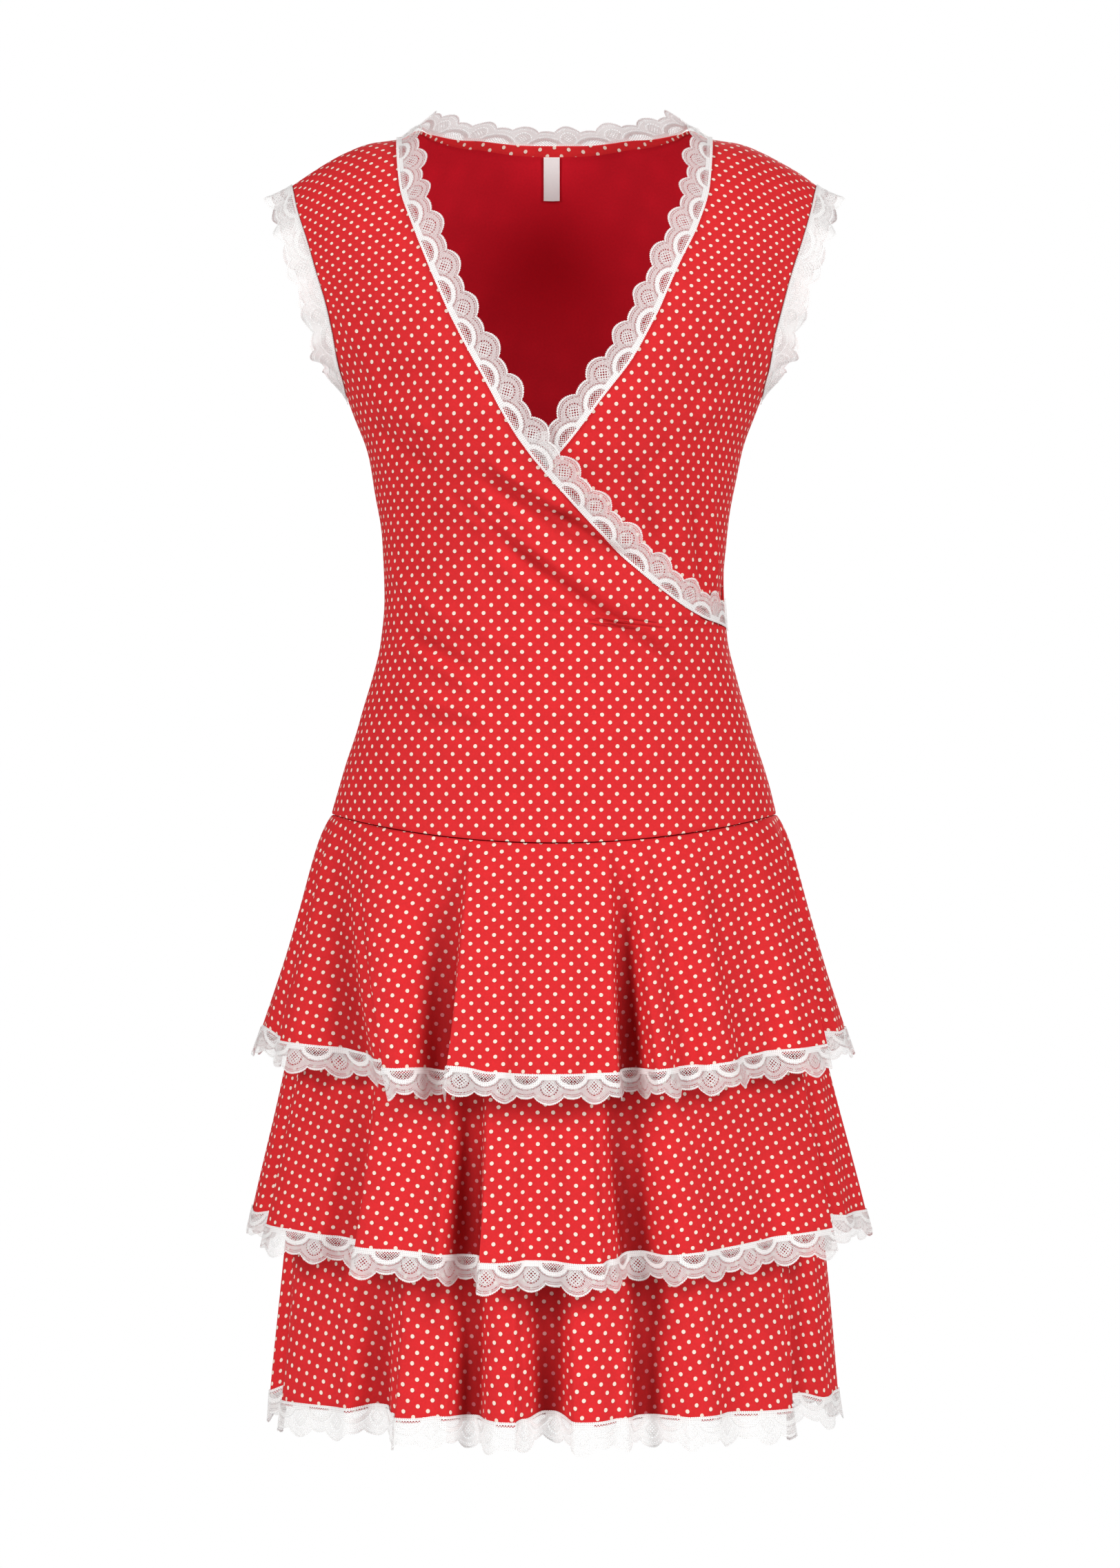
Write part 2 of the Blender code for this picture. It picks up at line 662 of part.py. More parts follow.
def front_edge_lace(name, edge, mirror, lowest_z, lift):
    """Lace of a front's neck edge, from its lowest visible point up to the shoulder."""
    rise = np.linspace((lowest_z - CHEST_Z) / RISE_LENGTH, SHOULDER_SEAM_RISE, 240)
    angle = edge_angles(edge, 0.5 * math.pi, rise)
    angle, rise = spaced(angle, rise, 0.008)
    angle = mirror * angle
    points, normal, away = edge_frame(angle, rise, np.array([mirror, 0.0, 0.6]))
    corner = ramp(-0.035, -0.004, points[:, 2])[:, None]
    inward = np.array([mirror, 0.0, 0.0])
    away = unit(away + (inward - away) * corner)
    stand = away + (NECK_CORNER_STAND * (mirror, 1, 1) - away) * corner
    return edge_lace(name, points, normal, away, stand, lift(angle, points[:, 2]))


def back_neck_lace(name):
    """Lace that stands up from the back neckline."""
    x = np.linspace(-NECK_POINT_X + 0.0012, NECK_POINT_X - 0.0012, 241)
    rise = np.minimum(back_neck_rise(x), SHOULDER_SEAM_RISE)
    z = np.interp(np.abs(x), np.append(BACK_NECK["x"], NECK_POINT_X), np.append(BACK_NECK["z"], 0.0015))
    angle = math.pi - angle_at(x, z)
    angle, rise = spaced(angle, rise, 0.008)
    points, normal, away = edge_frame(angle, rise, np.array([0.0, 0.0, 1.0]))
    corner = ramp(0.080, NECK_POINT_X - 0.003, np.abs(points[:, 0]))[:, None]
    inward = -np.sign(points[:, :1]) * np.array([1.0, 0.0, 0.0])
    away = unit(away + (inward - away) * corner)
    tilted = inward * NECK_CORNER_STAND[0] + np.array([0.0, 0.0, NECK_CORNER_STAND[2]])
    return edge_lace(name, points, normal, away, away + (tilted - away) * corner, np.zeros(len(points)))


def armhole_lace(name, mirror):
    """Lace frill round an armhole, from the underarm up the front, over the shoulder tip and down the back."""
    up = np.linspace(rise_at(0, UNDERARM_Z) + 0.02, 1.0, 120)
    rise = np.concatenate([up, up[-2::-1]])
    angle = np.concatenate([armhole_angles(up), math.pi - armhole_angles(up)[-2::-1]])
    angle, rise = spaced(angle, rise, 0.0085)
    points, normal, away = edge_frame(mirror * angle, rise, np.array([mirror, 0.0, 0.0]))
    stand = unit(away * 0.5 + np.array([mirror * 0.85, 0.0, -0.25]))
    along = unit(np.gradient(points, axis=0))
    stand = stand - along * (stand * along).sum(-1, keepdims=True)
    lift = np.full(len(points), ARMHOLE_LACE_LIFT)
    return edge_lace(name, points, normal, away, stand, lift, waves=0.003)


def label(name):
    """Bare woven label inside the back neck, on the panel's inner points moved in."""
    x = LABEL_X + LABEL_WIDTH * np.linspace(-0.5, 0.5, 3)
    z = LABEL_TOP_Z - LABEL_LENGTH * np.linspace(0, 1, 5)[:, None]
    x, z = np.broadcast_arrays(x, z)
    angle, rise = math.pi - angle_at(x, z), rise_at(x, z)
    normal = body_normal(angle, rise)
    outer = body_point(angle, rise) - normal * (CLOTH + 2.5 * SEAM_GAP)
    return wall(name, outer, outer - normal * LABEL_THICKNESS, WHITE)


def clear_scene():
    for piece in list(bpy.data.objects):
        bpy.data.objects.remove(piece, do_unlink=True)


def build():
    """Every piece of the dress."""
    clear_scene()
    front_panel("bodice_front_outer", WRAP_EDGE, 1, wrap_lift, 19)
    front_panel("bodice_front_under", UNDER_EDGE, -1, under_lift, 14)
    back_panel("bodice_back")
    for side, span in (("front", FRONT), ("back", BACK)):
        angle, rise = hip_rows(span, 17, UNDERSKIRT_END_Z, 5)
        body_wall(f"underskirt_{side}", angle, rise, np.full(angle.shape, -UNDERSKIRT_INSET))
        for number in TIERS:
            flounce(f"flounce_{number}_{side}", number, span)
            hem_lace(f"lace_hem_{number}_{side}", number, span)
    front_edge_lace("lace_wrap_edge", WRAP_EDGE, 1, WRAP_END_Z + 0.001, wrap_lift)
    front_edge_lace("lace_under_edge", UNDER_EDGE, -1, -0.224, lambda angle, z: 0 * z)
    back_neck_lace("lace_back_neck")
    armhole_lace("lace_armhole_right", -1)
    armhole_lace("lace_armhole_left", 1)
    label("neck_label")


build()
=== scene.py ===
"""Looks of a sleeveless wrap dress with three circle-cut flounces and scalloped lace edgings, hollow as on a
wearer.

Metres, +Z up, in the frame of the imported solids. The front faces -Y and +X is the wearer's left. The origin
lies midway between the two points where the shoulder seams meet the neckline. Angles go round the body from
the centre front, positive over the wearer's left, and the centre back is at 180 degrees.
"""

import logging
import math
from collections.abc import Callable, Sequence
from dataclasses import dataclass, field, replace
from enum import Enum

import bpy
import numpy as np
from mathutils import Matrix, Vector
from numpy.typing import NDArray

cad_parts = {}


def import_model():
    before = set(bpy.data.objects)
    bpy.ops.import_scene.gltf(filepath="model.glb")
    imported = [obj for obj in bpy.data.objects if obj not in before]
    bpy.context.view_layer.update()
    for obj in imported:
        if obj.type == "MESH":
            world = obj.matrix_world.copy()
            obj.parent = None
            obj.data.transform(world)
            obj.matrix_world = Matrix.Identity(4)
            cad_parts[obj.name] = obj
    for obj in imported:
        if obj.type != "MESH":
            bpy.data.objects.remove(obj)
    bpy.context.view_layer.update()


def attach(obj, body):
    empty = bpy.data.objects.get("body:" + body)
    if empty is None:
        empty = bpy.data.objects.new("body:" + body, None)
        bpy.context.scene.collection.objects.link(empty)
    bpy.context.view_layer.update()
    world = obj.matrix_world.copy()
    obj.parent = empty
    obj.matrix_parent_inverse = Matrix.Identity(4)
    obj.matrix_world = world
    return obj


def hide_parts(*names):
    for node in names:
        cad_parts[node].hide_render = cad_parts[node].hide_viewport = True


Array = NDArray[np.float64]
Table = dict[str, Array]
Place = tuple[float, float, float]
Range = tuple[float, float]
Colour = tuple[float, float, float]
Material, Object = bpy.types.Material, bpy.types.Object
Tree, Node, Socket = bpy.types.NodeTree, bpy.types.Node, bpy.types.NodeSocket

LOG = logging.getLogger("wrap_dress")
BODY = "root"
MILLIMETRE = 0.001
PER_METRE = 1000.0
HALF_TURN = 180.0
QUARTER = 0.5 * math.pi
SHARP_DEG = 50.0
# Radius by which lengths across a side seam are turned into angles
SIDE_RADIUS = 0.1


def columns(names: str, rows: Sequence[tuple[float, ...]]) -> Table:
    """Turns the rows of a short table into one array for each named column.

    Args:
        names: the column names, with spaces between them.
        rows: the table's rows.

    Returns:
        The columns by name.
    """
    return {name: np.array(column, float) for name, column in zip(names.split(), zip(*rows))}


def curve_through(places: Array, values: Array, at: Array) -> Array:
    """A smooth curve through a few points, which never swings past them and runs on straight beyond its ends.

    Between two points it is the cubic whose end slopes are the harmonic means of the slopes on both sides, or
    level where those slopes have opposite signs.

    Args:
        places: rising places of the points.
        values: the curve's values there.
        at: where to read the curve.

    Returns:
        The curve's values at those places.
    """
    at = np.asarray(at, float)
    steps = np.diff(places)
    slopes = np.diff(values) / steps
    one_way = slopes[:-1] * slopes[1:] > 0
    total = np.where(one_way, slopes[:-1] + slopes[1:], 1.0)
    inner = np.where(one_way, 2 * slopes[:-1] * slopes[1:] / total, 0.0)
    tangents = np.concatenate([slopes[:1], inner, slopes[-1:]])
    cell = np.clip(np.searchsorted(places, at) - 1, 0, len(steps) - 1)
    inside = np.clip(at, places[0], places[-1])
    t = (inside - places[cell]) / steps[cell]
    start = (1 + 2 * t) * (1 - t) ** 2 * values[cell] + t**2 * (3 - 2 * t) * values[cell + 1]
    bend = (t * (1 - t) ** 2 * tangents[cell] + t**2 * (t - 1) * tangents[cell + 1]) * steps[cell]
    end_slope = np.where(at > inside, tangents[-1], tangents[0])
    return start + bend + (at - inside) * end_slope


def ramp(low: float, high: float, value: Array) -> Array:
    """0 below low, 1 above high, and the soft step 3s^2 - 2s^3 between them."""
    share = np.clip((value - low) / (high - low), 0, 1)
    return share * share * (3 - 2 * share)


def unit(vectors: Array) -> Array:
    """The vectors at length 1."""
    return vectors / np.linalg.norm(vectors, axis=-1, keepdims=True)


def lengths(points: Array) -> Array:
    """Length along each line of points, from its first one to each, over the second-last axis."""
    steps = np.linalg.norm(np.diff(points, axis=-2), axis=-1)
    return np.concatenate([np.zeros_like(steps[..., :1]), np.cumsum(steps, axis=-1)], axis=-1)


def grid_normals(points: Array) -> Array:
    """Outward normals of a grid, by the cross product of its differences along and across rows."""
    return unit(np.cross(np.gradient(points, axis=1), np.gradient(points, axis=0)))


def in_scene(name: str, data: bpy.types.ID) -> Object:
    """Makes an object of a mesh, light or camera, and puts it in the scene."""
    made = bpy.data.objects.new(name, data)
    bpy.context.scene.collection.objects.link(made)
    return made


@dataclass(frozen=True)
class BodyForm:
    """The surface that the cloth lies on: ellipses up to the chest line, and a dome up to the shoulders."""

    chest_z: float = -0.130
    underarm_z: float = -0.184
    waist_z: float = -0.310
    hip_z: float = -0.475
    hip_dip_front: float = 0.019
    hip_dip_back: float = 0.012
    power: float = 1.8
    rise_length: float = 0.150
    passes: int = 30
    side_step: float = 1e-4
    middle_angle: float = 0.25
    level_reach: Range = (-4.3, 1.2)
    level_count: int = 1200
    rings: Table = field(default_factory=lambda: columns("z half front back", [
        (-0.760, 0.186, 0.137, 0.151), (-0.730, 0.184, 0.135, 0.149), (-0.665, 0.180, 0.131, 0.146),
        (-0.600, 0.176, 0.127, 0.142), (-0.540, 0.168, 0.120, 0.137), (-0.495, 0.1605, 0.115, 0.133),
        (-0.475, 0.1565, 0.112, 0.130), (-0.441, 0.1470, 0.108, 0.122), (-0.412, 0.1380, 0.105, 0.112),
        (-0.382, 0.1290, 0.102, 0.103), (-0.353, 0.1220, 0.100, 0.095), (-0.310, 0.1195, 0.100, 0.090),
        (-0.280, 0.1215, 0.105, 0.090), (-0.251, 0.1260, 0.116, 0.093), (-0.222, 0.1315, 0.128, 0.096),
        (-0.193, 0.1415, 0.133, 0.099), (-0.178, 0.1480, 0.132, 0.100), (-0.164, 0.1560, 0.131, 0.101),
        (-0.135, 0.1690, 0.127, 0.102), (-0.105, 0.1810, 0.122, 0.102), (-0.076, 0.1930, 0.118, 0.101),
        (-0.047, 0.2030, 0.113, 0.099), (0.000, 0.2120, 0.107, 0.097), (0.060, 0.2160, 0.103, 0.095),
    ]))
    shoulder: Table = field(default_factory=lambda: columns("x z", [
        (0.000, 0.070), (0.050, 0.050), (0.085, 0.021),
        (0.107, 0.001), (0.128, -0.0025), (0.150, -0.0110),
        (0.163, -0.018), (0.187, -0.034), (0.215, -0.052),
    ]))

    def ring(self, name: str, z: Array) -> Array:
        """A size of the body's ring at height z."""
        return curve_through(self.rings["z"], self.rings[name], z)

    def shoulder_z(self, x: Array) -> Array:
        """Height of the shoulder's top line at x."""
        return curve_through(self.shoulder["x"], self.shoulder["z"], np.abs(x))

    def depth(self, angle: Array, z: Array) -> Array:
        """Half depth of the ring on the side that the angle faces."""
        return np.where(np.cos(angle) > 0, self.ring("front", z), self.ring("back", z))

    def point(self, angle: Array, rise: Array) -> Array:
        """A point of the surface.

        Below the chest line z falls by the rise's length, x is the half width times the angle's sine and y
        the depth times its cosine. Above it both follow a quarter turn to a power, whose height is the
        shoulder's line at x. That height and x depend on each other, and are settled in a few passes.

        Args:
            angle: angle round the body in radians.
            rise: 0 on the chest line, 1 on the shoulder, below 0 further down.

        Returns:
            Points in metres, with x, y and z last.
        """
        angle, rise = np.broadcast_arrays(np.asarray(angle, float), np.asarray(rise, float))
        turn = QUARTER * np.clip(rise, 0, 2)
        up = np.sin(turn) ** (2 / self.power)
        out = np.sign(np.cos(turn)) * np.abs(np.cos(turn)) ** (2 / self.power)
        below = self.chest_z + self.rise_length * np.minimum(rise, 0)
        z = below
        for _ in range(self.passes):
            x = self.ring("half", z) * np.sin(angle)
            z = below + up * (self.shoulder_z(x) - self.chest_z)
        y = -self.depth(angle, z) * np.cos(angle) * out
        return np.stack([x, y, z], axis=-1)

    def normal(self, angle: Array, rise: Array) -> Array:
        """The surface's outward normal, from two small steps across and up.

        Args:
            angle: angle round the body in radians.
            rise: rise of the place.

        Returns:
            Unit vectors, with x, y and z last.
        """
        step = self.side_step
        across = self.point(angle + step, rise) - self.point(angle - step, rise)
        upward = self.point(angle, rise + step) - self.point(angle, rise - step)
        return unit(np.cross(across, upward))

    def rise_at(self, x: Array, z: Array) -> Array:
        """The rise of the surface's point that is seen at x and z.

        Args:
            x: place across, in metres.
            z: height in metres.

        Returns:
            Rises, 0 on the chest line and 1 on the shoulder.
        """
        share = np.clip((z - self.chest_z) / (self.shoulder_z(x) - self.chest_z), 0, 1)
        above = np.arcsin(share ** (0.5 * self.power)) / QUARTER
        return np.where(np.asarray(z) > self.chest_z, above, (z - self.chest_z) / self.rise_length)

    def angle_at(self, x: Array, z: Array) -> Array:
        """The angle of the surface's point that is seen at x and z."""
        return np.arcsin(np.clip(x / self.ring("half", z), -1, 1))

    def low_rise(self, z: float) -> float:
        """The rise of a height below the chest line."""
        return (z - self.chest_z) / self.rise_length

    def hip_seam_z(self, angle: Array) -> Array:
        """Height of the hip seam, which dips at the centre front and back by a squared cosine."""
        dip = np.where(np.cos(angle) > 0, self.hip_dip_front, self.hip_dip_back)
        return self.hip_z - dip * np.cos(angle) ** 2

    def dipped(self, angle: Array, rise: Array) -> Array:
        """Rises moved so that the rows near the hip seam follow its dip, and those above the waist don't.

        Args:
            angle: angle round the body in radians.
            rise: rises before the move.

        Returns:
            Rises moved by the seam's dip, times their share of the way from the waist down to the hips.
        """
        z = self.chest_z + self.rise_length * rise
        share = np.clip((self.waist_z - z) / (self.waist_z - self.hip_z), 0, 1)
        return rise + share * (self.hip_seam_z(angle) - self.hip_z) / self.rise_length

    def meridian(self, rise: Array) -> Array:
        """Length of cloth from the chest line to each rise, on a line close to the middle of the front.

        Args:
            rise: the rises to read.

        Returns:
            Lengths in metres, below 0 under the chest line.
        """
        levels = np.linspace(*self.level_reach, self.level_count)
        line = self.point(self.middle_angle * np.ones_like(levels), levels)
        length = lengths(line)
        return np.interp(rise, levels, length - np.interp(0.0, levels, length))


@dataclass(frozen=True)
class Edges:
    """The cut edges of the bodice's panels on the body's surface."""

    form: BodyForm
    wrap_end_z: float = -0.3435
    neck_point_x: float = 0.108
    tip_x: float = 0.187
    armhole: Table = field(default_factory=lambda: columns("x z", [
        (0.1500, -0.1675), (0.1555, -0.1385), (0.1630, -0.1090),
        (0.1725, -0.0805), (0.1795, -0.0595),
    ]))
    wrap: Table = field(default_factory=lambda: columns("x z", [
        (0.1010, -0.3360), (0.0755, -0.3190), (0.0515, -0.2980),
        (0.0085, -0.2520), (-0.0215, -0.2160), (-0.0380, -0.1885),
        (-0.0590, -0.1505), (-0.0720, -0.1240), (-0.0840, -0.0955),
        (-0.0950, -0.0670), (-0.1045, -0.0365),
    ]))
    under: Table = field(default_factory=lambda: columns("x z", [
        (0.1010, -0.3360), (0.0785, -0.3155), (0.0510, -0.2890),
        (0.0215, -0.2510), (-0.0075, -0.2190), (-0.0270, -0.1935),
        (-0.0510, -0.1615), (-0.0680, -0.1300), (-0.0830, -0.0955),
        (-0.0960, -0.0680), (-0.1050, -0.0365),
    ]))
    back_neck: Table = field(default_factory=lambda: columns("x z", [
        (0.0000, 0.0030), (0.0305, 0.0035), (0.0610, 0.0060),
        (0.0855, 0.0085), (0.1005, 0.0060),
    ]))

    def neck_angles(self, edge: Table, rise: Array) -> Array:
        """The angle of a front's neck edge at each rise.

        Below the wrap's end the edge is the side seam; above it, it is the smooth curve through the edge's
        points.

        Args:
            edge: the points of the edge, in x and z.
            rise: the rises to read.

        Returns:
            Angles in radians.
        """
        form = self.form
        top = form.angle_at(-self.neck_point_x, form.shoulder_z(self.neck_point_x))
        rises = np.concatenate([[form.low_rise(self.wrap_end_z)], form.rise_at(edge["x"], edge["z"]), [1.0]])
        angles = np.concatenate([[QUARTER], form.angle_at(edge["x"], edge["z"]), [top]])
        return np.where(rise <= rises[0], QUARTER, curve_through(rises, angles, rise))

    def armhole_angles(self, rise: Array) -> Array:
        """The angle of the armhole's edge at each rise, and of the side seam below it.

        Args:
            rise: the rises to read.

        Returns:
            Angles in radians.
        """
        form, hole = self.form, self.armhole
        rises = np.concatenate([[form.low_rise(form.underarm_z)], form.rise_at(hole["x"], hole["z"]), [1.0]])
        tip = form.angle_at(self.tip_x, form.shoulder_z(self.tip_x))
        angles = np.concatenate([[QUARTER], form.angle_at(hole["x"], hole["z"]), [tip]])
        return np.where(rise <= rises[0], QUARTER, curve_through(rises, angles, rise))

    def back_neck_rise(self, x: Array) -> Array:
        """Rise of the back neckline, which is 1 outside the neck point.

        Args:
            x: place across, in metres.

        Returns:
            The neckline's rise at each place.
        """
        places = np.append(self.back_neck["x"], self.neck_point_x)
        rises = np.append(self.form.rise_at(self.back_neck["x"], self.back_neck["z"]), 1.0)
        return np.where(np.abs(x) >= self.neck_point_x, 1.0, curve_through(places, rises, np.abs(x)))


class Skin(Enum):
    """Which side of a cloth wall a face is on."""

    OUTSIDE = 0
    INSIDE = 1


@dataclass(frozen=True)
class Cloth:
    """A thin closed wall of cloth: an outer grid, the same grid moved in by its thickness, and rims between.

    The places where the inside shows the outside's finish, and each point's share of painted shade for lying
    in a hollow, go with it.
    """

    name: str
    outer: Array
    inner: Array
    uv: Array
    inside_shown: Array | None = None
    hollow: Array | None = None

    def faces(self) -> tuple[Array, Array]:
        """The wall's quads and the side each one is on.

        Returns:
            Corner numbers, four for each quad, and each quad's material number.
        """
        rows, across = self.outer.shape[:2]
        index = np.arange(rows * across).reshape(rows, across)
        skin = np.stack([index[:-1, :-1], index[:-1, 1:], index[1:, 1:], index[1:, :-1]], -1)
        skin = skin.reshape(-1, 4)
        far = rows * across
        border = np.concatenate([index[0, :-1], index[:-1, -1], index[-1, :0:-1], index[:0:-1, 0]])
        after = np.roll(border, -1)
        rims = np.stack([after, border, border + far, after + far], -1)
        shown = np.full(len(skin), Skin.INSIDE.value)
        if self.inside_shown is not None:
            shown = np.where(self.inside_shown.reshape(-1), Skin.OUTSIDE.value, shown)
        quads = np.concatenate([skin, skin[:, ::-1] + far, rims])
        sides = np.concatenate([0 * shown, shown, np.zeros(len(rims), int)])
        return quads, sides

    def build(self, materials: Sequence[Material]) -> Object:
        """Makes the mesh object with its faces outwards, and puts it in place of the node of the same name.

        Args:
            materials: the outside's material and, where the wall has one, the inside's.

        Returns:
            The finished object.
        """
        quads, sides = self.faces()
        points = np.concatenate([self.outer.reshape(-1, 3), self.inner.reshape(-1, 3)])
        corners = points[quads]
        middle = corners.mean(axis=1)
        area = np.cross(corners[:, 2] - corners[:, 0], corners[:, 3] - corners[:, 1])
        if np.einsum("ij,ij->i", middle, area).sum() < 0:
            quads = quads[:, ::-1]
        mesh = bpy.data.meshes.new(f"{self.name}_cloth")
        mesh.vertices.add(len(points))
        mesh.vertices.foreach_set("co", points.astype(np.float32).ravel())
        mesh.loops.add(quads.size)
        mesh.loops.foreach_set("vertex_index", quads.astype(np.int32).ravel())
        mesh.polygons.add(len(quads))
        mesh.polygons.foreach_set("loop_start", np.arange(0, quads.size, 4, dtype=np.int32))
        both = np.concatenate([self.uv.reshape(-1, 2)] * 2)
        layer = mesh.uv_layers.new(name="cloth")
        layer.uv.foreach_set("vector", both[quads.ravel()].astype(np.float32).ravel())
        # Each point's share of painted shade for lying in a hollow
        if self.hollow is not None:
            depth = mesh.attributes.new("hollow", "FLOAT", "POINT")
            depth.data.foreach_set("value", np.concatenate([self.hollow.ravel()] * 2).astype(np.float32))
        finishes = np.minimum(sides, len(materials) - 1).astype(np.int32)
        mesh.polygons.foreach_set("material_index", finishes)
        mesh.update(calc_edges=True)
        mesh.validate()
        mesh.shade_smooth()
        mesh.set_sharp_from_angle(angle=math.radians(SHARP_DEG))
        piece = in_scene(f"{self.name}_cloth", mesh)
        for material in materials:
            mesh.materials.append(material)
        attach(piece, BODY)
        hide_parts(self.name)
        LOG.info("%s: %d faces", self.name, len(quads))
        return piece


def thin_wall(name: str, outer: Array, uv: Array, thickness: float) -> Cloth:
    """A wall whose inner grid is the outer one moved against its own normals by the thickness."""
    return Cloth(name, outer, outer - grid_normals(outer) * thickness, uv)


def cut_of(uv: Array) -> tuple[Range, float]:
    """The flat cut that a grid of cloth coordinates covers.

    Args:
        uv: cloth coordinates in metres.

    Returns:
        Its width and length, and its area as the sum of the grid cells' cross products.
    """
    low, high = uv.reshape(-1, 2).min(axis=0), uv.reshape(-1, 2).max(axis=0)
    a, b = uv[1:, 1:] - uv[:-1, :-1], uv[:-1, 1:] - uv[1:, :-1]
    area = 0.5 * np.abs(a[..., 0] * b[..., 1] - a[..., 1] * b[..., 0]).sum()
    width, length = (float(size) for size in high - low)
    return (round(width, 3), round(length, 3)), float(area)


@dataclass(frozen=True)
class Crease:
    """A line on the cloth along which it stands out or sinks in."""

    line: Array
    normal: Array
    height: float
    tilt: float
    width: float
    fade: float
    tilt_scale: float = 1.65
    reach_widths: float = 3.0

    def shape(self, points: Array) -> Array:
        """How far the cloth stands out because of this crease.

        With q as the distance from the line over the crease's width, an even ridge is height times e^(-q^2),
        and a tilt adds 1.65 q e^(-q^2) times its size, which stands out on one side of the line and sinks in
        on the other. Both fade out towards the line's ends.

        Args:
            points: points of the cloth in metres.

        Returns:
            Heights in metres.
        """
        heights = np.zeros(points.shape[:-1])
        reach = self.reach_widths * self.width
        low, high = self.line.min(axis=0) - reach, self.line.max(axis=0) + reach
        near = ((points > low) & (points < high)).all(axis=-1)
        heights[near] = self.near_shape(points[near])
        return heights

    def near_shape(self, points: Array) -> Array:
        """The same for points near the line, by the nearest place on its straight steps.

        Args:
            points: points of the cloth in metres.

        Returns:
            Heights in metres.
        """
        start, step = self.line[:-1], np.diff(self.line, axis=0)
        away = points[..., None, :] - start
        share = np.clip((away * step).sum(-1) / (step**2).sum(-1), 0, 1)
        away = away - share[..., None] * step
        gap = np.linalg.norm(away, axis=-1)
        nearest = np.argmin(gap, axis=-1)[..., None]
        side = np.sign((np.cross(step, away) * self.normal[:-1]).sum(-1))
        place = (np.take_along_axis(share, nearest, -1)[..., 0] + nearest[..., 0]) / len(step)
        q = np.take_along_axis(gap, nearest, -1)[..., 0] / self.width
        q_signed = q * np.take_along_axis(side, nearest, -1)[..., 0]
        ends = ramp(0, self.fade, place) * ramp(0, self.fade, 1 - place)
        even = self.height * np.exp(-q * q)
        return ends * (even + self.tilt * q_signed * self.tilt_scale * np.exp(-q * q))


CREASE_COLUMNS = "x1 z1 x2 z2 sag height tilt width face"


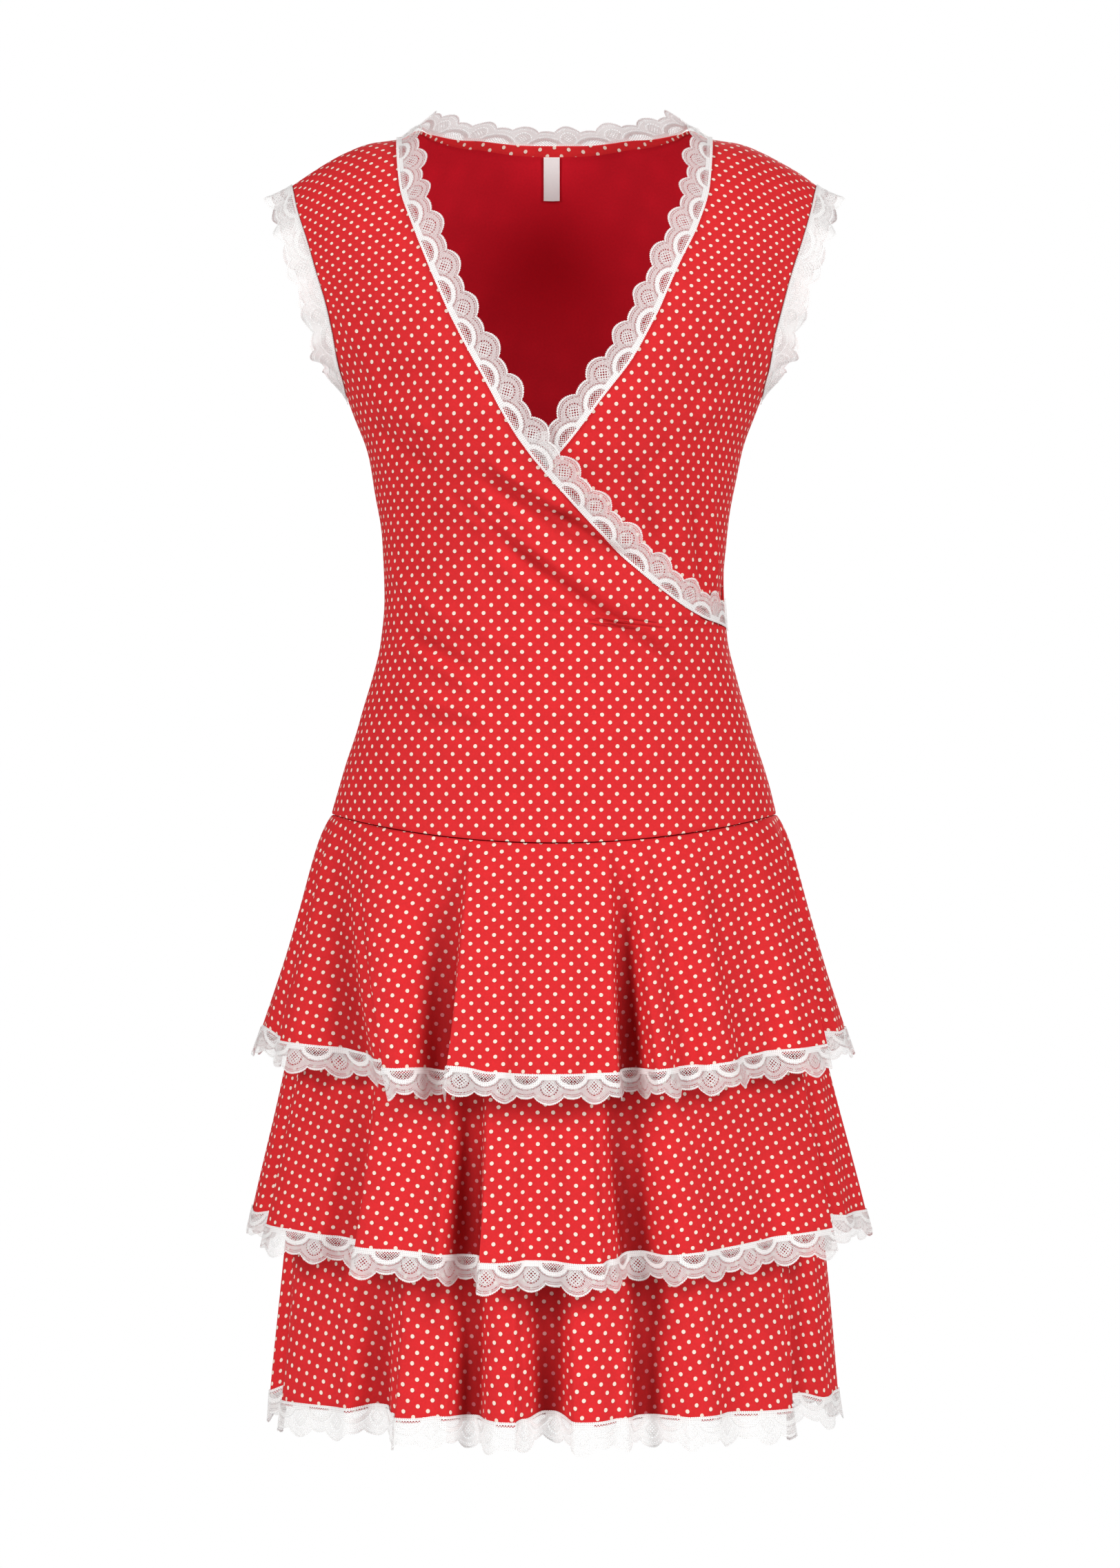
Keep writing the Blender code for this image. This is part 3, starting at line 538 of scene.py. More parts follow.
@dataclass(frozen=True)
class Drape:
    """The creases of the bodice, pulled from the wrap's end at the left side seam across to the right hip."""

    form: BodyForm
    creases: Table = field(default_factory=lambda: columns(CREASE_COLUMNS, [
        (-0.052, -0.226, 0.016, -0.270, 1, 2.4, 0, 6, 1),
        (-0.052, -0.233, 0.030, -0.285, 1, -2.3, 1.2, 4.6, 1),
        (-0.058, -0.236, 0.046, -0.304, 1.5, -2.6, 1.4, 4.6, 1),
        (-0.076, -0.247, 0.004, -0.308, 1.5, -2.6, 1.4, 4.8, 1),
        (-0.052, -0.251, 0.000, -0.288, 1, 2.4, 0, 4.6, 1),
        (-0.004, -0.262, 0.060, -0.304, 1, -4.2, 1.6, 4.4, 1),
        (-0.084, -0.250, 0.070, -0.342, 4, 3.2, 1.2, 8.5, 1),
        (-0.052, -0.272, 0.106, -0.378, 4, -3.8, 2.4, 5, 1),
        (-0.062, -0.285, 0.100, -0.390, 4, 3, 0, 6.5, 1),
        (-0.020, -0.316, 0.112, -0.398, 3, -2.6, 1.4, 6.5, 1),
        (-0.112, -0.350, -0.046, -0.390, 1, 3, -1.8, 5, 1),
        (-0.102, -0.344, -0.051, -0.373, 1, -2.8, 1.4, 4.5, 1),
        (-0.114, -0.384, -0.036, -0.408, 2, 2.2, -1.2, 6.5, 1),
        (-0.106, -0.398, -0.036, -0.418, 2, -2, 1, 6, 1),
        (-0.118, -0.300, -0.076, -0.342, 2, 2, 1, 7, 1),
        (0.096, -0.250, 0.106, -0.322, 0, -2.4, 1.4, 4, 1),
        (0.086, -0.258, 0.095, -0.322, 0, 2, 0, 4.5, 1),
        (0.108, -0.246, 0.114, -0.320, 0, 2.2, 0.8, 4, 1),
        (0.050, -0.228, 0.078, -0.292, 2, -2.2, 1.2, 7, 1),
        (0.104, -0.200, 0.058, -0.250, -3, -1.8, 0.8, 8, 1),
        (0.120, -0.186, 0.072, -0.226, -3, 2.2, 1, 9, 1),
        (-0.134, -0.178, -0.076, -0.216, 3, 2.2, 1, 9, 1),
        (-0.130, -0.196, -0.074, -0.238, 3, -1.9, 0.8, 7, 1),
        (-0.152, -0.120, -0.116, -0.188, 4, 1.6, 1, 8, 1),
        (0.148, -0.110, 0.116, -0.184, 4, 1.7, -1, 8, 1),
        (-0.100, -0.326, -0.006, -0.374, 3, 1.5, 1, 10, 1),
        (-0.090, -0.340, 0.010, -0.386, 3, -1.3, 0, 9, 1),
        (-0.030, -0.396, 0.090, -0.436, 2, 1.2, 0.8, 12, 1),
        (-0.090, -0.430, 0.030, -0.452, 2, 1, 0.6, 12, 1),
        (-0.116, -0.318, -0.030, -0.300, 5, 2.2, 1.2, 7, -1),
        (0.116, -0.322, 0.024, -0.296, 5, 2.3, -1.2, 7, -1),
        (-0.112, -0.345, -0.036, -0.336, 5, -2, 1, 6, -1),
        (0.110, -0.350, 0.040, -0.330, 5, -1.9, -1, 6, -1),
        (-0.120, -0.366, -0.030, -0.384, 3, 1.9, 1, 8, -1),
        (0.118, -0.370, 0.020, -0.392, 3, 1.8, -1, 8, -1),
        (-0.130, -0.190, -0.070, -0.250, 4, 1.8, 1, 10, -1),
        (0.130, -0.196, 0.068, -0.246, 4, 1.8, -1, 10, -1),
        (-0.020, -0.220, -0.016, -0.330, 0, -1.4, 0.7, 11, -1),
        (0.030, -0.230, 0.024, -0.340, 0, 1.4, 0.7, 11, -1),
    ]))
    ripple: float = 0.00035
    seam_dip: float = 0.0006
    seam_reach: float = 0.0022
    line_points: int = 11
    fade: float = 0.25
    # Painted shade in the creases: the depths over which it grows, and its largest share
    hollow_shade_depths: Range = (0.0003, 0.0045)
    hollow_shade_most: float = 0.42

    def crease(self, row: int) -> Crease:
        """One crease, laid on the body as a line of points that sags in its middle by a parabola.

        Args:
            row: number of its row in the table.

        Returns:
            The crease.
        """
        of = {name: float(column[row]) for name, column in self.creases.items()}
        share = np.linspace(0, 1, self.line_points)
        x = of["x1"] + (of["x2"] - of["x1"]) * share
        z = of["z1"] + (of["z2"] - of["z1"]) * share - 4 * of["sag"] * MILLIMETRE * share * (1 - share)
        angle = self.form.angle_at(x, z)
        angle = angle if of["face"] > 0 else math.pi - angle
        rise = self.form.rise_at(x, z)
        line, normal = self.form.point(angle, rise), self.form.normal(angle, rise)
        sizes = (of[name] * MILLIMETRE for name in ("height", "tilt", "width"))
        return Crease(line, normal, *sizes, fade=self.fade)

    def height(self, points: Array) -> Array:
        """How far the bodice's cloth stands off its plain form: its creases and a slow ripple.

        The ripple is the product of two sines in x, y and z, and 0.6 times a third, quicker one.

        Args:
            points: points of the cloth in metres.

        Returns:
            Heights in metres.
        """
        total = sum(self.crease(row).shape(points) for row in range(len(self.creases["x1"])))
        x, y, z = np.moveaxis(points, -1, 0)
        waves = np.sin(63 * x + 41 * z) * np.sin(88 * z - 37 * y) + 0.6 * np.sin(131 * x - 96 * z + 1.3)
        return total + self.ripple * waves

    def hollow_shading(self, points: Array) -> Array:
        """Painted shade by depth in a crease: 0 up to 0.42, where the cloth sinks in by 4.5 mm or more."""
        return self.hollow_shade_most * ramp(*self.hollow_shade_depths, -self.height(points))

    def at_seam(self, gap: Array) -> Array:
        """How far cloth sinks in near a seam, by the square of what is left of the seam's reach."""
        return -self.seam_dip * np.clip(1 - gap / self.seam_reach, 0, 1) ** 2


@dataclass(frozen=True)
class Bodice:
    """The two crossed fronts and the back."""

    form: BodyForm
    edges: Edges
    drape: Drape
    cloth: float = 0.0009
    seam_gap: float = 0.00005
    wrap_lift_full: float = 0.0032
    wrap_lift_hip: float = 0.0010
    wrap_lift_side: float = 0.0019
    side_fade_deg: float = 35.0
    wrap_top: Range = (-0.205, -0.165)
    hip_fade: float = 0.045
    cover_fade: Range = (0.022, 0.046)
    upper_height: float = 0.19
    seam_rows: tuple[float, ...] = (0.0, 0.0005, 0.0010, 0.0016, 0.0024)
    cell: float = 0.0034
    front_columns: int = 122
    neck_columns: int = 50
    shoulder_columns: int = 42
    shoulder_share: float = 0.6
    neck_reach: float = -0.45
    band: float = 0.0045
    band_rows: tuple[float, ...] = (1.25, 1.0, 0.6, 0.25, 0.0)
    band_step: float = 0.0005
    band_clear: float = 0.004
    band_from: float = 0.999
    chords: int = 10

    def from_sides(self, angle: Array) -> Array:
        """0 at the side seams and 1 from 35 degrees in front of them."""
        return ramp(0, math.radians(self.side_fade_deg), QUARTER - np.abs(angle))

    def wrap_lift(self, angle: Array, z: Array) -> Array:
        """How far the outer front stands off the body, where it covers the under front.

        Args:
            angle: angle round the body in radians.
            z: height in metres.

        Returns:
            Its lift, which grows from the hip seam up, and fades out to the side seams and above the wrap.
        """
        above = 1 - ramp(*self.wrap_top, z)
        near_hip = ramp(self.form.hip_z, self.form.hip_z + self.hip_fade, z)
        lift = self.wrap_lift_hip + (self.wrap_lift_full - self.wrap_lift_hip) * near_hip
        return lift * self.from_sides(angle) * above

    def under_lift(self, angle: Array, z: Array) -> Array:
        """How far the under front stands off the body.

        It lies below the outer front, and level with the body beyond that front's edge and lace.

        Args:
            angle: angle round the body in radians.
            z: height in metres.

        Returns:
            Its lift, below 0 where it lies inside the body's form.
        """
        wrap, half = self.edges.wrap, self.form.ring("half", np.asarray(self.edges.wrap_end_z))
        edge_x = np.concatenate([[half], wrap["x"]])[::-1]
        edge_z = np.concatenate([[self.edges.wrap_end_z], wrap["z"]])[::-1]
        above_edge = z - np.interp(self.form.ring("half", z) * np.sin(angle), edge_x, edge_z)
        covered = 1 - ramp(*self.cover_fade, above_edge)
        room = self.wrap_lift_side + (self.wrap_lift_full - self.wrap_lift_side) * self.from_sides(angle)
        return covered * (self.wrap_lift(angle, z) - room)

    def lifted(self, angle: Array, rise: Array, lift: Array) -> Array:
        """Points of the creased cloth, lifted off the body along its normal."""
        points = self.form.point(angle, rise)
        return points + self.form.normal(angle, rise) * (lift + self.drape.height(points))[..., None]

    def cut_down(self, points: Array, rise: Array) -> Array:
        """Length of cloth from the chest line down the front, or up over the shoulders.

        Above the chest line it is three fifths of the length on the body and two fifths of the height gained,
        as of jersey that is stretched there.

        Args:
            points: points of the panel on the body.
            rise: their rises.

        Returns:
            Lengths in metres, below 0 under the chest line.
        """
        kept = self.shoulder_share
        stretched = (1 - kept) * np.maximum(points[..., 2] - self.form.chest_z, 0)
        return self.form.meridian(rise) * np.where(rise > 0, kept, 1.0) + stretched

    def cut_across(self, angle: Array, rise: Array, centre: float) -> Array:
        """Length of cloth along each row from the centre line, as the sum of ten chords of the body.

        Args:
            angle: angle round the body in radians.
            rise: rises of the places.
            centre: the centre line's angle.

        Returns:
            Lengths in metres, below 0 on the side of the smaller angles.
        """
        share = np.linspace(0, 1, self.chords + 1)
        points = self.form.point(centre + (angle - centre)[..., None] * share, rise[..., None] + 0 * share)
        return lengths(points)[..., -1] * np.sign(angle - centre)

    def rows(self, top: float) -> Array:
        """Rises of a panel's rows from the hip seam up: half a millimetre apart there, then a cell each.

        Args:
            top: rise of the last row.

        Returns:
            The rises, from the lowest up.
        """
        low = self.form.low_rise(self.form.hip_z)
        near = np.array(self.seam_rows) / self.form.rise_length
        high_count = math.ceil(self.upper_height / self.cell)
        low_count = math.ceil((-low * self.form.rise_length - self.seam_rows[-1]) / self.cell)
        below = np.linspace(low + near[-1], 0.0, low_count, endpoint=False)
        return np.concatenate([low + near[:-1], below, np.linspace(0.0, top, high_count)])

    def side_dip(self, angle: Array, z: Array) -> Array:
        """How far a panel sinks in at a side seam, below the armhole, at angles from its middle."""
        side = (QUARTER - np.abs(angle)) * SIDE_RADIUS
        return np.where(z < self.form.underarm_z, self.drape.at_seam(side), 0)

    def front(self, name: str, edge: Table, mirror: int, lift: Callable[[Array, Array], Array]) -> Cloth:
        """A front, from its side seam and armhole to its neck edge.

        Args:
            name: the piece's name.
            edge: the neck edge's points, for a front that goes over to the wearer's left.
            mirror: 1 for such a front, -1 for one that goes over to the wearer's right.
            lift: how far the front stands off the body at each angle and height.

        Returns:
            The front's wall.
        """
        top = 1 - 2 * self.seam_gap / self.form.rise_length
        rises = self.rows(top)
        step = 0.5 * self.seam_gap / SIDE_RADIUS
        own_side = step - self.edges.armhole_angles(rises)
        neck_side = np.minimum(self.edges.neck_angles(edge, rises), QUARTER - step)
        share = np.linspace(0, 1, self.front_columns)
        angle = own_side[:, None] + (neck_side - own_side)[:, None] * share
        rise = self.form.dipped(angle, np.repeat(rises[:, None], self.front_columns, axis=1))
        if mirror < 0:
            angle = -angle[:, ::-1]
            rise = rise[:, ::-1]
        z = self.form.point(angle, rise)[..., 2]
        dips = self.drape.at_seam(z - self.form.hip_seam_z(angle)) + self.side_dip(angle, z)
        outer = self.lifted(angle, rise, lift(angle, z) + dips)
        plain = self.form.point(angle, rise)
        uv = np.stack([self.cut_across(angle, rise, 0.0), self.cut_down(plain, rise)], axis=-1)
        return replace(thin_wall(name, outer, uv, self.cloth), hollow=self.drape.hollow_shading(plain))

    def back(self, name: str) -> Cloth:
        """The back, whose rows rise to the neckline and the shoulder seams.

        Inside the neck the last rows are a turned band, which is thicker and shows the print.

        Args:
            name: the piece's name.

        Returns:
            The back's wall.
        """
        form, edges = self.form, self.edges
        tip = form.angle_at(edges.tip_x, form.shoulder_z(edges.tip_x))
        neck = form.angle_at(edges.neck_point_x, form.shoulder_z(edges.neck_point_x)) / tip
        half = np.concatenate([np.linspace(0, neck, self.neck_columns),
                               np.linspace(neck, 1, self.shoulder_columns)[1:]])
        share = np.concatenate([half[::-1], -half[1:]])
        x_top = edges.tip_x / np.sin(tip) * np.sin(np.abs(share) * tip)
        top = np.minimum(edges.back_neck_rise(x_top), 1 - 2 * self.seam_gap / form.rise_length)
        levels = self.rows(1.0)
        last = levels[-1] - np.array(self.band_rows) * self.band / form.rise_length
        levels = np.concatenate([levels[levels < last[0] - self.band_clear], last])[:, None]
        rise = levels + ramp(self.neck_reach, 1.0, levels) * (top - 1.0)
        angle = math.pi - share * (edges.armhole_angles(rise) - 0.5 * self.seam_gap / SIDE_RADIUS)
        rise = form.dipped(angle, rise)
        points = form.point(angle, rise)
        z = points[..., 2]
        dips = self.drape.at_seam(z - form.hip_seam_z(angle)) + self.side_dip(angle - math.pi, z)
        outer = self.lifted(angle, rise, dips)
        uv = np.stack([self.cut_across(angle, rise, math.pi), self.cut_down(points, rise)], axis=-1)
        in_neck = np.abs(share) * tip < form.angle_at(edges.neck_point_x, 0.0)
        in_band = (levels > self.band_from * last[1]) & in_neck
        inner = outer - grid_normals(outer) * (self.cloth + self.band_step * in_band)[..., None]
        shown = in_band[:-1, :-1] & in_band[:-1, 1:]
        return Cloth(name, outer, inner, uv, inside_shown=shown, hollow=self.drape.hollow_shading(points))


FOLD_COLUMNS = "seam_deg hem_deg rise right_deg left_deg lean lift"


@dataclass(frozen=True)
class Tier:
    """A flounce's ring: its seam and hem at the sides, their dips in front and behind, and its folds.

    Each row of folds gives its place on the seam and on the hem, how far the hem stands out there, how wide
    the fold is to the wearer's right and left, how far its crest leans over to the wearer's left, and how far
    the hem is lifted. Places and widths are in degrees, the rest in millimetres.
    """

    number: int
    seam_z: float
    seam_dip: Range
    hem_z: float
    hem_dip: Range
    half: float
    front: float
    back: float
    folds: Table


TIERS = (
    Tier(1, -0.4754, (0.019, 0.012), -0.6280, (0.0250, 0.024), 0.2060, 0.163, 0.179, columns(FOLD_COLUMNS, [
        (-168, -168, 8, 9, 7, 3, 0), (-152, -154, -11, 7, 6, 0, 2),
        (-139, -141, 9, 6, 8, -4, 0), (-122, -124, -9, 8, 7, 0, 2),
        (-106, -109, 8, 7, 8, 3, 0), (-92, -94, -6, 7, 6, 0, 2),
        (-80, -77, 3, 6, 8, 0, 4), (-73, -60.5, 6, 4, 8, -9, 0),
        (-66, -44, -13, 11, 9, 0, 1), (-52, -30.0, 11, 4, 4.5, -8, -3),
        (-24, -23.4, -19, 4.5, 3.4, 0, -3), (-19.5, -18.7, 9, 2.2, 6, -4, 3),
        (-10, -10.5, -2.5, 3, 3, 0, 0), (-1, -1.5, 6, 9, 9, 0, 0),
        (12.5, 11.0, 3, 4, 3, 2, 0), (16, 15.8, -22, 4.8, 4.2, 0, 1),
        (20, 20.5, 8, 4, 4.5, -2, 0), (26, 26, -3, 4, 4, 0, 0),
        (32, 31.5, 8, 4, 8, -3, -1), (45, 44, -5, 8, 8, 0, 0),
        (72, 57.5, 10, 12, 4, 9, -1), (80, 68, -11, 6, 8, 0, 2),
        (89, 87, -2, 9, 8, 0, 0), (103, 104, -9, 7, 7, 0, 2),
        (117, 118, 9, 8, 7, 4, 0), (133, 134, -10, 7, 8, 0, 2),
        (148, 149, 9, 8, 6, -4, 0), (164, 164, -8, 7, 7, 0, 2),
    ])),
    Tier(2, -0.6000, (0.012, 0.010), -0.7560, (0.0230, 0.022), 0.2110, 0.168, 0.182, columns(FOLD_COLUMNS, [
        (-164, -164, -10, 8, 7, 0, 2), (-149, -150, 9, 7, 8, 4, 0),
        (-132, -133, -10, 8, 7, 0, 2), (-117, -118, 8, 7, 9, -4, 0),
        (-101, -101, -8, 8, 7, 0, 2), (-88, -88, 1, 7, 6, 0, 3),
        (-76, -75, -11, 6, 6, 0, 3), (-67, -62.5, 9, 5, 12, -9, 0),
        (-45, -44, -11, 6, 6, 0, 0), (-38, -36.5, 8, 4, 7, -6, -1),
        (-26, -26, -3, 5, 4, 0, 0), (-17.5, -17.0, -23, 5, 4.5, 0, 0),
        (-12.5, -11.0, 9, 4, 6, -8, -2), (-4, -4, -3, 4, 4, 0, 0),
        (5, 6.5, 8, 7, 4, 6, -2), (13, 16.5, -21, 6, 5, 0, 3),
        (24, 25, 9, 4.5, 9, -5, 0), (46, 46, -3, 9, 9, 0, 0),
        (64, 57.5, 10, 12, 4, 9, 0), (73, 69, -11, 7, 7, 0, 2),
        (89, 90, 8, 9, 8, 0, 0), (106, 107, -9, 8, 7, 0, 2),
        (122, 123, 8, 8, 8, 4, 0), (137, 138, -10, 8, 7, 0, 2),
        (153, 153, 9, 8, 7, -4, 0), (170, 170, -7, 8, 8, 0, 2),
    ])),
    Tier(3, -0.7200, (0.006, 0.006), -0.8828, (0.0040, 0.006), 0.1995, 0.160, 0.172, columns(FOLD_COLUMNS, [
        (-170, -170, 7, 8, 7, 3, 0), (-155, -155, -10, 8, 7, 0, 2),
        (-140, -141, 8, 7, 8, -4, 0), (-124, -124, -9, 8, 8, 0, 2),
        (-108, -108, 8, 8, 7, 3, 0), (-93, -93, -5, 7, 7, 0, 2),
        (-79, -78, -10, 7, 7, 0, 6), (-68, -63.5, 8, 5, 12, -8, 0),
        (-40, -38.5, -13, 7, 5, 0, 4), (-30, -29.5, 8, 4, 6, -6, -2),
        (-18, -17.5, -18, 4.5, 4.5, 0, 0), (-9, -9.5, 9, 5, 3.5, 6, -2),
        (-2, -1.0, -19, 5, 5, 0, 4), (6, 6, 5, 4, 7, -4, -2),
        (19, 19.5, -18, 5.5, 5.5, 0, 0), (28, 29, 8, 5, 8, -4, -1),
        (54, 49.5, 9, 12, 4, 7, -1), (64, 61, -11, 6, 9, 0, 5),
        (80, 80, 2, 9, 9, 0, 3), (97, 97, -8, 8, 7, 0, 2),
        (112, 112, 8, 8, 8, 4, 0), (128, 128, -9, 8, 8, 0, 2),
        (144, 144, 8, 8, 8, -4, 0), (159, 160, -8, 7, 7, 0, 2),
    ])),
)


@dataclass(frozen=True)
class Flounce:
    """One circle-cut flounce with its folds, which also carries the lace beyond its hem."""

    form: BodyForm
    tier: Tier
    seam_gap: float = 0.00005
    cloth: float = 0.0009
    early_flare: float = 0.07
    early_drop: float = 0.16
    side_gap_deg: float = 0.06
    side_fade_deg: float = 5.0
    flutter: float = 0.0013
    flutter_turns: Range = (17.0, 29.0)
    flutter_slants: Range = (2.1, -3.2)
    swell_power: float = 0.8
    # Painted shade in the valleys: the depths and the drops over which it grows
    hollow_shade_depths: Range = (0.0056, 0.0184)
    hollow_shade_drops: Range = (0.0, 0.9)
    column_deg: float = 0.5
    seam_rows: tuple[float, ...] = (0.0, 0.004, 0.008, 0.015)
    first_row: float = 0.03
    row_count: int = 36
    turn_step_deg: float = 0.05
    drop_step: float = 0.01
    length_points: int = 40

    def dip(self, sizes: Range, angle: Array) -> Array:
        """How much lower the seam or hem lies at an angle than at the sides, by a squared cosine."""
        return np.where(np.cos(angle) > 0, *sizes) * np.cos(angle) ** 2

    def hem_sum(self, angle_deg: Array, column: str) -> Array:
        """The sum of the folds' humps at each hem angle.

        With c as the squared cosine that is 1 on the fold and 0 at its feet, a hump is c(2 - c), flat on top
        and steep at its sides. The crests' lean is c squared, so that it stays near the crest.

        Args:
            angle_deg: hem angles in degrees.
            column: which of the folds' sizes to sum.

        Returns:
            The sum at each angle, in metres.
        """
        folds, total = self.tier.folds, np.zeros_like(angle_deg)
        for turn in (-360, 0, 360):
            away = angle_deg[..., None] + turn - folds["hem_deg"]
            reach = np.where(away < 0, folds["right_deg"], folds["left_deg"])
            bump = np.cos(QUARTER * np.clip(away / reach, -1, 1)) ** 2
            hump = bump * bump if column == "lean" else bump * (2 - bump)
            total = total + (hump * folds[column] * MILLIMETRE).sum(axis=-1)
        return total

    def seam_angle(self, angle_deg: Array) -> Array:
        """The place on the seam that a place on the hem hangs from.

        Args:
            angle_deg: hem angles in degrees.

        Returns:
            Seam angles in degrees.
        """
        folds = self.tier.folds
        hem = np.concatenate([folds["hem_deg"] + turn for turn in (-360, 0, 360)])
        seam = np.concatenate([folds["seam_deg"] + turn for turn in (-360, 0, 360)])
        return curve_through(hem, seam, angle_deg)

    def point(self, angle_deg: Array, drop: Array) -> Array:
        """A point of the flounce.

        The ring widens evenly from the seam to the hem. With s as the drop over the early drop, a small share
        of the flare is gained early, by s e^(1 - s) less the straight line that makes it 0 on the hem. The
        folds' humps and a small flutter, the product of two sines, stand out of the ring by the drop to the
        power 0.8. The crests lean over sideways, and the hem is lifted, by the drop squared.

        Args:
            angle_deg: angle of the place on the hem, in degrees.
            drop: 0 on the seam, 1 on the hem, more than 1 on the lace beyond it.

        Returns:
            Points in metres.
        """
        tier = self.tier
        top_angle, hem_angle = np.radians(self.seam_angle(angle_deg)), np.radians(angle_deg)
        angle = top_angle + (hem_angle - top_angle) * drop
        seam_z = tier.seam_z - self.seam_gap - self.dip(tier.seam_dip, top_angle)
        hem_z = tier.hem_z - self.dip(tier.hem_dip, hem_angle)
        facing = np.where(np.cos(hem_angle) > 0, tier.front, tier.back)
        early = drop / self.early_drop
        peak = np.exp(1 - early) - drop * math.exp(1 - 1 / self.early_drop)
        flare = drop + self.early_flare * early * peak
        half = self.form.ring("half", seam_z) * (1 - flare) + tier.half * flare
        deep = self.form.depth(top_angle, seam_z) * (1 - flare) + facing * flare
        level = seam_z + (hem_z - seam_z) * drop
        base = np.stack([half * np.sin(angle), -deep * np.cos(angle), level], axis=-1)
        out = unit(np.stack([np.sin(angle) / half, -np.cos(angle) / deep, 0 * angle], axis=-1))
        left = np.stack([-out[..., 1], out[..., 0], 0 * angle], axis=-1)
        slow, quick = (turns * hem_angle + slant * drop
                       for turns, slant in zip(self.flutter_turns, self.flutter_slants))
        flutter = self.flutter * (np.sin(slow + tier.number) * np.sin(quick))
        swell = self.hem_sum(angle_deg, "rise") + flutter
        from_side = np.abs(np.abs(angle_deg) % HALF_TURN - HALF_TURN / 2)
        lean = self.hem_sum(angle_deg, "lean") * drop**2 * ramp(0, self.side_fade_deg, from_side)
        lift = self.hem_sum(angle_deg, "lift") * drop**2
        upward = np.stack([0 * lift, 0 * lift, lift], axis=-1)
        swell = swell * np.abs(drop) ** self.swell_power
        return base + out * swell[..., None] + left * lean[..., None] + upward

    def normal(self, angle_deg: Array, drop: Array) -> Array:
        """Outward normal of the flounce, from two small steps across and down.

        Args:
            angle_deg: hem angles in degrees.
            drop: drops of the places.

        Returns:
            Unit vectors.
        """
        turn, step = self.turn_step_deg, self.drop_step
        across = self.point(angle_deg + turn, drop) - self.point(angle_deg - turn, drop)
        down = self.point(angle_deg, drop + step) - self.point(angle_deg, drop - step)
        return unit(np.cross(down, across))

    def span(self, face: int, step_deg: float) -> Array:
        """Hem angles of the front half or the back half.

        Args:
            face: 1 for the front, -1 for the back.
            step_deg: the angle from one to the next.

        Returns:
            Angles in degrees, rising.
        """
        middle = 0.0 if face > 0 else HALF_TURN
        reach = HALF_TURN / 2 - self.side_gap_deg
        return np.linspace(middle - reach, middle + reach, round(2 * reach / step_deg) + 1)

    def length(self) -> float:
        """Length of the flounce from seam to hem, measured down the centre front."""
        drop = np.linspace(0, 1, self.length_points)
        return float(lengths(self.point(0 * drop, drop))[-1])

    def flat(self, points: Array, drop: Array, centre: int) -> Array:
        """Cloth coordinates on the flounce's flat cut.

        Each half is cut as a quarter of a ring whose inner arc is its seam, so the inner radius is the seam's
        length over a quarter turn. A place's turn on the cut is its length along the row from the middle over
        its radius.

        Args:
            points: the grid of points, in rows of equal drop.
            drop: the drop of each row.
            centre: number of the middle column.

        Returns:
            Cloth coordinates in metres, with the flounce's middle line running down.
        """
        along = lengths(points)
        seam_length = along[np.argmin(drop), -1]
        radius = (seam_length / QUARTER + self.length() * drop)[:, None]
        turn = (along - along[:, centre:centre + 1]) / radius
        return np.stack([radius * np.sin(turn), -radius * np.cos(turn)], axis=-1)

    def hollow_shading(self, angle_deg: Array, drop: Array) -> Array:
        """Painted shade by depth in a valley: 0 on the seam or under 5.6 mm in, 1 from 18.4 mm in."""
        return ramp(*self.hollow_shade_depths, -self.hem_sum(angle_deg, "rise")) * ramp(*self.hollow_shade_drops, drop)

    def cloth_half(self, name: str, face: int) -> Cloth:
        """The front or back half as a wall of cloth, with rows from the hem up.

        Args:
            name: the piece's name.
            face: 1 for the front, -1 for the back.

        Returns:
            The half's wall.
        """
        angle = self.span(face, self.column_deg)
        drop = np.concatenate([self.seam_rows, np.linspace(self.first_row, 1.0, self.row_count)])[::-1]
        grid, down = np.broadcast_arrays(angle, drop[:, None])
        points = self.point(grid, down)
        sink = Drape(self.form).at_seam(drop * self.length())[:, None, None]
        points = points + self.normal(grid, down) * sink
        uv = self.flat(points, drop, len(angle) // 2)
        return replace(thin_wall(name, points, uv, self.cloth), hollow=self.hollow_shading(grid, down))


@dataclass(frozen=True)
class Underskirt:
    """The plain skirt panels that carry the second and third flounce."""

    form: BodyForm
    end_z: float = -0.728
    inset: float = 0.0021
    cloth: float = 0.0009
    seam_gap: float = 0.0003
    wave: float = 0.0005
    wave_turns: Place = (9.0, 14.0, 31.0)
    columns_each_side: int = 45
    row_count: int = 46

    def half(self, name: str, face: int) -> Cloth:
        """One panel from the hip seam to the third flounce, a little inside the body's form.

        Its waves are the product of a sine round the body and one down it.

        Args:
            name: the piece's name.
            face: 1 for the front, -1 for the back.

        Returns:
            The panel's wall.
        """
        middle, centre = (0.0 if face > 0 else math.pi), self.columns_each_side
        reach = QUARTER - 0.5 * self.seam_gap / SIDE_RADIUS
        angle = np.linspace(middle - reach, middle + reach, 2 * centre + 1)
        top = self.form.hip_seam_z(angle) - 2 * self.seam_gap
        z = self.end_z + (top - self.end_z) * np.linspace(0, 1, self.row_count)[:, None]
        rise = (z - self.form.chest_z) / self.form.rise_length
        angle = np.broadcast_to(angle, z.shape)
        turns, slant, down = self.wave_turns
        waves = self.wave * (np.sin(turns * angle + slant * z) * np.sin(down * z) - 1)
        body = self.form.point(angle, rise)
        outer = body - self.form.normal(angle, rise) * (self.inset - waves)[..., None]
        along = lengths(outer)
        uv = np.stack([along - along[:, centre:centre + 1], self.form.meridian(rise)], axis=-1)
        return thin_wall(name, outer, uv, self.cloth)


